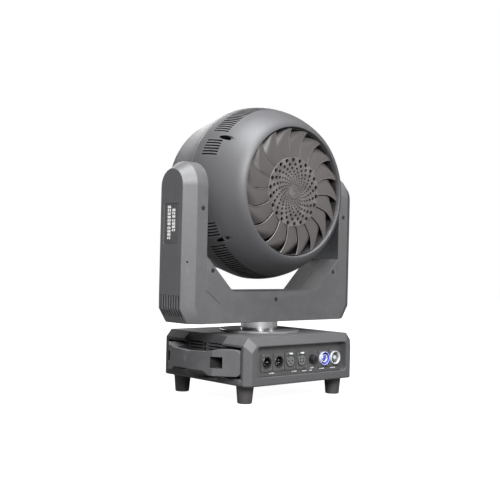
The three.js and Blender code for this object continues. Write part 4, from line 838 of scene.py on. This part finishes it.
def make_yoke():
    for side, sx in (("left", 1), ("right", -1)):
        cover = merged(f"arm_cover_{side}")
        bores = [rod(3.9, Y, sy * (YOKE_REAR - 2.2), sy * (YOKE_REAR + 3), (sx * x, 0, z))
                 for x, z in YOKE_SCREWS["arm_cover"] for sy in (1, -1)]
        bores.append(rod(1.6, Y, YOKE_REAR - 12, YOKE_REAR + 5, (sx * 200, 0, 238), 16))
        rounded(cover, 1.1, 3, 25)
        cut(cover, *bores)
        # Painted shade on the cover's inner faces.
        paint_shade_inside(coat(cover, YOKE_GREY_WITH_PAINTED_LIGHT))
        placed(smooth(cover, 22), f"arm_shell_{side}", None, f"arm_cover_{side}", f"arm_cover_{side}")
    for end, sy in (("rear", 1), ("front", -1)):
        cover = merged(f"crossbar_cover_{end}")
        bores = [rod(3.9, Y, sy * (YOKE_REAR - 1.8), sy * (YOKE_REAR + 3), (sx * x, 0, z))
                 for x, z in YOKE_SCREWS["crossbar_cover"] for sx in ((1, -1) if x else (1,))]
        rounded(cover, 1.1, 3, 25)
        cut(cover, *bores)
        node = f"crossbar_cover_{end}"
        placed(smooth(cover, 22), f"crossbar_shell_{end}", YOKE_GREY_WITH_PAINTED_LIGHT, node, node)
    places = [((sx * x, sy * (YOKE_REAR - 2.1), z), (0, sy, 0))
              for group in YOKE_SCREWS.values() for x, z in group
              for sx in ((1, -1) if x else (1,)) for sy in (1, -1)]
    screws_at("yoke_screws", places, "yoke_frame")


def marks(name, place, along, up, out, lengths, height, like):
    """A line of plain printed bars, every third one in two halves, with no lettering."""
    bars = []
    at = 0.0
    along, up, out = Vector(along), Vector(up), Vector(out)
    for index, length in enumerate(lengths):
        middle = Vector(place) + along * (at + length / 2)
        halves = ((-0.29, 0.4), (0.29, 0.4)) if index % 3 == 1 else ((0.0, 1.0),)
        for shift, share in halves if length else ():
            centre = middle + up * height * shift
            half = Vector(map(abs, along * length / 2 + up * height * share / 2 + out * 0.06))
            bars.append(rounded(block(centre - half, centre + half), 0.3, 2))
        at += length + 0.3 * max(lengths)
    placed(joined(name, bars), name, PRINT_WHITE, like)


def make_labels():
    for side, sx in (("left", 1), ("right", -1)):
        plate = merged(f"label_plate_{side}")
        rounded(plate, 0.3, 2, 40)
        placed(smooth(plate), f"label_{side}", PANEL_GREY, f"label_plate_{side}", f"label_plate_{side}")
        low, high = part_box(f"label_plate_{side}")
        face = (high.x if sx > 0 else low.x) / MM + sx * 0.06
        top = high.z / MM
        words = ((6.6, 9, [4.2, 4.2, 4.2, 0, 4.2, 4.2, 4.2, 4.2]), (-6.0, 3.6, [4.4] * 6 + [0] + [4.4] * 4))
        for line, (y, start, lengths) in enumerate(words):
            marks(f"label_{side}_line_{line + 1}", (face, sx * y, top - start), (0, 0, -1), (0, 1, 0), (1, 0, 0),
                  lengths, 8.6, f"label_plate_{side}")


# ---- Base ----

def make_base_shell():
    shell = merged("base_housing", whole_faces=False)

    def outside(middle, along):
        x, y, z = abs(middle.x), abs(middle.y), middle.z
        wall_slot = x < 123 and y < 50 and z > 80
        return not wall_slot and (x > 121 or y > 106.5 or z > 99 or z < 33)

    rounded_where(shell, 0.9, 3, outside)
    pockets = [block((sx * 122.3, sy * 53, 43.2), (sx * 140, sy * 102, 96.6)) for sx in (1, -1) for sy in (1, -1)]
    cut(shell, joined("pockets", pockets))
    low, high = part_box("base_housing")
    wall = high.x / MM - 10
    coat(shell, CASING_GREY).data.materials.append(BLACK_AND_PAINTED_SHADE)
    # Painted shade: the pocket walls and the wall behind the handle ends are made black.
    for face in shell.data.polygons:
        x, y, z = (abs(v) / MM for v in face.center)
        if x < wall + 9 and 53 < y < 102.5 and 43 < z < 97 and (x > wall + 0.5 or abs(x - wall + 0.2) < 0.1):
            face.material_index = 1
    placed(smooth(shell, 22), "base_shell", None, "base_housing", "base_housing")
    places = [((sx * (wall - 0.2), y, z), (sx, 0, 0)) for sx in (1, -1) for y, z in ((-51.5, 95), (-5, 94), (-5, 86))]
    screws_at("base_wall_screws", places, "base_housing", radius=2.4)


GRIP_BOLT_OUT, GRIP_BOLT_HEIGHT = 65, 69.5


def make_handles():
    for side, sx in (("left", 1), ("right", -1)):
        grip = merged(f"handle_{side}")
        rounded_where(grip, 7, 5, lambda middle, along: abs(along.x) > 0.9 and abs(middle.y) > 96)
        rounded(grip, 1.8, 3, 28)
        coat(grip, HANDLE_GREY).data.materials.append(BLACK_AND_PAINTED_SHADE)
        # Painted shade: the walls round each bolt are made black.
        for face in grip.data.polygons:
            y, z = abs(face.center.y) / MM - GRIP_BOLT_OUT, face.center.z / MM - GRIP_BOLT_HEIGHT
            if max(abs(y), abs(z)) < 10.4 and abs(face.normal.x) < 0.6:
                face.material_index = 1
        placed(smooth(grip, 30), f"grip_{side}", None, f"handle_{side}", f"handle_{side}")
        places = [((sx * 131, sy * GRIP_BOLT_OUT, GRIP_BOLT_HEIGHT), (sx, 0, 0)) for sy in (1, -1)]
        screws_at(f"grip_screws_{side}", places, f"handle_{side}", PIN_SILVER, 4.2)


def make_feet():
    for name in ("front_left", "front_right", "rear_left", "rear_right"):
        low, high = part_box(f"foot_{name}")
        middle = (low + high) / 2 / MM
        top = high.z / MM
        profile = [(0, 1), (8.4, 1), (9, 0.2), (11.4, 0), (12.3, 0.5), (12.6, 1.6), (14.9, top - 5),
                   (15.4, top - 1), (15.4, top), (0, top)]
        foot = spun("foot", profile, Z, (middle.x, middle.y, 0), 48)
        placed(smooth(foot, 35), f"rubber_foot_{name}", FOOT_RUBBER, f"foot_{name}", f"foot_{name}")


def make_pan_collar():
    low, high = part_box("pan_trim_disc")
    bottom, top = low.z / MM, high.z / MM
    outer = high.x / MM
    disc = spun("trim", [(34.4, bottom), (outer, bottom), (outer, top - 1.6), (outer - 0.5, top - 0.6),
                         (outer - 1.6, top),
                         (outer - 4, top), (outer - 5, top - 0.7), (34.4, top - 0.7), (34.4, bottom)], Z, steps=128)
    placed(smooth(disc, 35), "trim_disc", TRIM_GREY, "pan_trim_disc", "pan_trim_disc")
    low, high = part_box("pan_tube")
    floor, top = low.z / MM, high.z / MM
    tube = spun("tube", [(20, floor), (48, floor), (48, floor + 5), (34, floor + 5), (34, 117.6), (33.4, 118),
                         (33.4, 119), (34, 119.4),
                         (34, 135), (26, 135), (26, top), (20, top), (20, floor)], Z, steps=96)
    placed(smooth(tube, 35), "pan_collar", COLLAR_CHROME, "pan_tube", "pan_tube")


SOCKETS = ("data_in_3pin", "data_in_5pin", "data_out_3pin", "data_out_5pin")
SOCKET_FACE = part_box("data_in_3pin")[1].y / MM
SOCKET_HEIGHT = (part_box("data_in_3pin")[0].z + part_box("data_in_3pin")[1].z) / 2 / MM


def socket_x(node):
    low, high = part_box(node)
    return (low.x + high.x) / 2 / MM


def make_sockets():
    for node in SOCKETS:
        body = merged(node)
        rounded(body, 0.3, 2, 30)
        ring = spun("ring", [(10.2, SOCKET_FACE - 0.2), (10.4, SOCKET_FACE + 0.8), (9.8, SOCKET_FACE + 1.4),
                             (9.1, SOCKET_FACE + 1.2), (8.8, SOCKET_FACE - 0.2), (10.2, SOCKET_FACE - 0.2)],
                    Y, (socket_x(node), 0, SOCKET_HEIGHT), 48)
        socket = joined("socket", [body, ring])
        coat(socket, SOCKET_BLACK).data.materials.append(PANEL_GREY)
        socket.data.materials.append(INSERT_GREY)
        for face in socket.data.polygons:
            off = face.center / MM - Vector((socket_x(node), 0, SOCKET_HEIGHT))
            from_middle = math.hypot(off.x, off.z)
            reach = max(math.hypot(corner.x / MM - socket_x(node), corner.z / MM - SOCKET_HEIGHT)
                        for corner in (socket.data.vertices[i].co for i in face.vertices))
            if "out" in node and reach < 11 and from_middle < 8.5 and off.y > SOCKET_FACE - 3:
                face.material_index = 2
            elif off.y < SOCKET_FACE + 0.4 and (
                    from_middle > 10.5 or face.normal.y > 0.9 and off.y > SOCKET_FACE - 0.4):
                face.material_index = 1
        placed(smooth(socket, 35), f"{node}_socket", None, node, node)
    for node, count in (("data_in_3pin", 3), ("data_in_5pin", 5)):
        pins = []
        for i in range(count):
            turn = math.pi * (1 + i / 2) if count == 3 else math.pi * (0.85 + 1.3 * i / (count - 1))
            place = (socket_x(node) + 4.6 * math.cos(turn), 0, SOCKET_HEIGHT + 4.6 * math.sin(turn))
            pins.append(rounded(rod(1.45, Y, SOCKET_FACE - 12.5, SOCKET_FACE - 3.5, place, 16), 0.6, 3, 40))
        placed(smooth(joined("pins", pins)), f"{node}_pins", FRAME_STEEL, node)
    flange = [((socket_x(node) + sx * 9.6, SOCKET_FACE - 0.1, SOCKET_HEIGHT + sx * 12.2), (0, 1, 0))
              for node in (*SOCKETS, "mains_inlet", "mains_outlet") for sx in (1, -1)]
    screws_at("socket_screws", flange, "connector_panel", FRAME_STEEL, 1.7)
    for node in ("latch_3pin", "latch_5pin"):
        tab = rounded(merged(node), 0.6, 3, 30)
        placed(smooth(tab), f"{node}_tab", MAINS_WHITE_AND_PAINTED_HIGHLIGHT, node, node)
    # The inlet's pale-blue edge and white rib and the outlet's whiter edge are painted highlights.
    make_mains_socket("mains_inlet", MAINS_BLUE, MAINS_BLUE_PAINTED_HIGHLIGHT, MAINS_WHITE_AND_PAINTED_HIGHLIGHT)
    make_mains_socket("mains_outlet", RESIST_WHITE, MAINS_WHITE_AND_PAINTED_HIGHLIGHT, INSERT_GREY)
    holder = rounded(merged("fuse_holder"), 0.5, 2, 30)
    placed(smooth(holder), "fuse_seat", SOCKET_BLACK, "fuse_holder", "fuse_holder")
    knob = rounded(merged("fuse_cap"), 0.6, 2, 30)
    placed(smooth(knob, 35), "fuse_knob", SOCKET_BLACK, "fuse_cap", "fuse_cap")


def make_mains_socket(node, finish, edge, rib_finish):
    """A round locking socket: flange, raised edge, a groove and a post inside a U-shaped rib. The edge finish paints
    a highlight on the raised edge.
    """
    x = socket_x(node)
    centre = (x, 0, SOCKET_HEIGHT)
    low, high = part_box(node)
    back, top = low.y / MM, high.y / MM
    floor = SOCKET_FACE - 5
    flange = rounded(block((x - 13, SOCKET_FACE - 1.8, SOCKET_HEIGHT - 15.5),
                           (x + 13, SOCKET_FACE, SOCKET_HEIGHT + 15.5)), 2.5, 4, 30)
    barrel = spun("barrel", [(0, back), (11, back), (11, SOCKET_FACE - 1), (12, SOCKET_FACE - 0.6), (12, top - 0.8),
                             (11.6, top), (11, top), (10.2, top - 1), (9.6, top - 2.6), (9.6, floor), (3.8, floor),
                             (3.8, top - 2.2), (3.3, top - 1.7), (0, top - 1.7)], Y, centre, 64)
    rib = spun("rib", [(5.9, floor), (5.9, top - 1.8), (6.2, top - 1.4), (7.2, top - 1.4), (7.5, top - 1.8),
                       (7.5, floor), (5.9, floor)], Y, centre, 48)
    cut(rib, block((x - 3.2, floor - 1, SOCKET_HEIGHT + 2), (x + 3.2, top + 1, SOCKET_HEIGHT + 12)))
    cut(barrel, block((x - 0.9, SOCKET_FACE - 3, SOCKET_HEIGHT - 2.6), (x + 0.9, top + 1, SOCKET_HEIGHT + 2.6)))
    cut(flange, rod(12.1, Y, SOCKET_FACE - 3, SOCKET_FACE + 1, centre, 64))
    placed(smooth(flange, 35), f"{node}_flange", PANEL_GREY, node)
    # The rib's finish: for the inlet, a painted highlight in white.
    placed(smooth(rib, 35), f"{node}_rib", rib_finish, node)
    # Painted highlight: faces beyond the groove, on the raised edge, get the lighter edge finish.
    coat(barrel, finish).data.materials.append(edge)
    for face in barrel.data.polygons:
        if math.hypot(face.center.x / MM - x, face.center.z / MM - SOCKET_HEIGHT) > 10.7:
            face.material_index = 1
    placed(smooth(barrel, 35), f"{node}_socket", None, node, node)


def make_panels():
    for node, name in (("connector_panel", "socket_panel"), ("display_bezel", "display_panel")):
        panel = rounded(merged(node), 0.4, 2, 30)
        placed(smooth(panel), name, PANEL_GREY, node, node)
    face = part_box("connector_panel")[1].y / MM
    for i, (x, z, lengths) in enumerate((
            (72, 50.3, [2.2, 1.8, 2.6, 2.2]), (18, 50.3, [2.4, 2.2, 2.6, 2.0]), (-8, 49.6, [3.0, 2.2, 3.0]),
            (-28, 54, [2.4, 2.0, 2.4]), (-26, 49.6, [3.0, 2.6]), (-52, 51, [2.4, 2.6, 2.2, 2.6]),
            (-80, 51, [2.6, 2.2, 2.6, 2.4]))):
        marks(f"panel_mark_{i + 1}", (x, face, z), (-1, 0, 0), (0, 0, 1), (0, 1, 0), lengths, 1.7, "connector_panel")
    window = rounded(merged("display_window"), 0.3, 2, 30)
    placed(smooth(window), "display_pane", DISPLAY_GLASS, "display_window", "display_window")
    for i in range(1, 5):
        make_button(f"menu_button_{i}")
    low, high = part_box("display_window")
    x0, x1, z0, z1 = low.x / MM - 1.6, high.x / MM + 1.6, low.z / MM - 1.6, high.z / MM + 1.6
    border = block((x0, -face - 0.5, z0), (x1, -face + 1, z1))
    cut(border, block((x0 + 1.9, -face - 2, z0 + 1.9), (x1 - 1.9, -face + 3, z1 - 1.9)))
    placed(smooth(rounded(border, 0.3, 2, 30)), "display_border", TRIM_GREY, "display_bezel")


def make_button(node):
    """A rubber key with a dished face."""
    low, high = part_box(node)
    middle = (low + high) / 2 / MM
    front, rear = low.y / MM, high.y / MM
    profile = [(0, front + 0.7), (2.4, front + 0.5), (3.6, front), (4.3, front + 0.1), (4.8, front + 0.5),
               (5, front + 1.2), (5, rear), (0, rear)]
    key = spun("key", profile, Y, (middle.x, 0, middle.z), 40)
    placed(smooth(key, 40), f"{node}_key", FOOT_RUBBER, node, node)


def make_underside():
    plate = rounded(merged("base_bottom_plate"), 0.4, 2, 30)
    placed(smooth(plate), "floor_plate", DARK_CAST_AND_PAINTED_SHADE, "base_bottom_plate", "base_bottom_plate")
    low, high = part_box("base_bottom_plate")
    places = [((x, y, 31), (0, 0, -1)) for x in (-108, 0, 108) for y in (-60, 60) if x or y]
    places += [((x, y, 31), (0, 0, -1)) for x in (-90, 90) for y in (0,)]
    screws_at("floor_screws", places, "base_bottom_plate", radius=2.6)


# The head frame is aluminium; its dark finish paints the shade inside the head.
INSIDE = {
    "power_supply": CAST_ALUMINIUM,
    "main_board": CIRCUIT_GREEN, "arm_board": CIRCUIT_GREEN, "led_board": RESIST_WHITE,
    "pan_pulley": CAST_ALUMINIUM, "tilt_pulley": CAST_ALUMINIUM, "pan_motor_pulley": CAST_ALUMINIUM,
    "tilt_motor_pulley": CAST_ALUMINIUM, "heatsink": DARK_CAST_AND_PAINTED_SHADE, "head_frame": DARK_CAST_AND_PAINTED_SHADE, "yoke_frame": FRAME_STEEL,
    "zoom_screw": FRAME_STEEL, "pan_motor": BLACK_AND_PAINTED_SHADE, "tilt_motor": BLACK_AND_PAINTED_SHADE, "zoom_motor": BLACK_AND_PAINTED_SHADE,
    "fan_frame": BLACK_AND_PAINTED_SHADE, "fan_rotor": BLACK_AND_PAINTED_SHADE, "pan_belt": BELT_RUBBER, "tilt_belt": BELT_RUBBER,
    "pan_bearing": LATCH_STEEL, "tilt_bearing_left": LATCH_STEEL, "tilt_bearing_right": LATCH_STEEL,
}


def finish_inside():
    """The CAD nodes whose shape stays get their real finish, except the head frame, whose dark finish is painted
    shade.
    """
    for node, finish in INSIDE.items():
        materials = NODES[node].data.materials
        materials.clear()
        materials.append(finish)


def make_floor():
    clear()
    bpy.ops.mesh.primitive_plane_add(size=14)
    floor = named("floor")
    finish, tree, shader = new_finish("floor_paper")
    place = tree.nodes.new("ShaderNodeTexCoord")
    fibre = tree.nodes.new("ShaderNodeTexNoise")
    fibre.inputs["Scale"].default_value = 300.0
    join_sockets(tree, (place.outputs["Object"], fibre.inputs["Vector"]),
                 (mixed(tree, spread(tree, fibre.outputs["Fac"], 0.3, 0.7),
                        (0.16, 0.16, 0.16, 1), (0.18, 0.18, 0.18, 1)), shader.inputs["Base Color"]))
    shader.inputs["Roughness"].default_value = 0.9
    seen = tree.nodes.new("ShaderNodeLightPath")
    shader.inputs["Emission Color"].default_value = (1, 1, 1, 1)
    join_sockets(tree, (spread(tree, seen.outputs["Is Camera Ray"], 0, 1, 0.0, 0.97),
                        shader.inputs["Emission Strength"]))
    coat(floor, finish)


aim_camera()
light_studio()
make_floor()
make_rear_shell()
make_front_shell()
make_front_bezel()
make_rear_grille()
make_lens_plate()
make_yoke()
make_labels()
make_base_shell()
make_handles()
make_feet()
make_pan_collar()
make_sockets()
make_panels()
make_underside()
finish_inside()
clear()
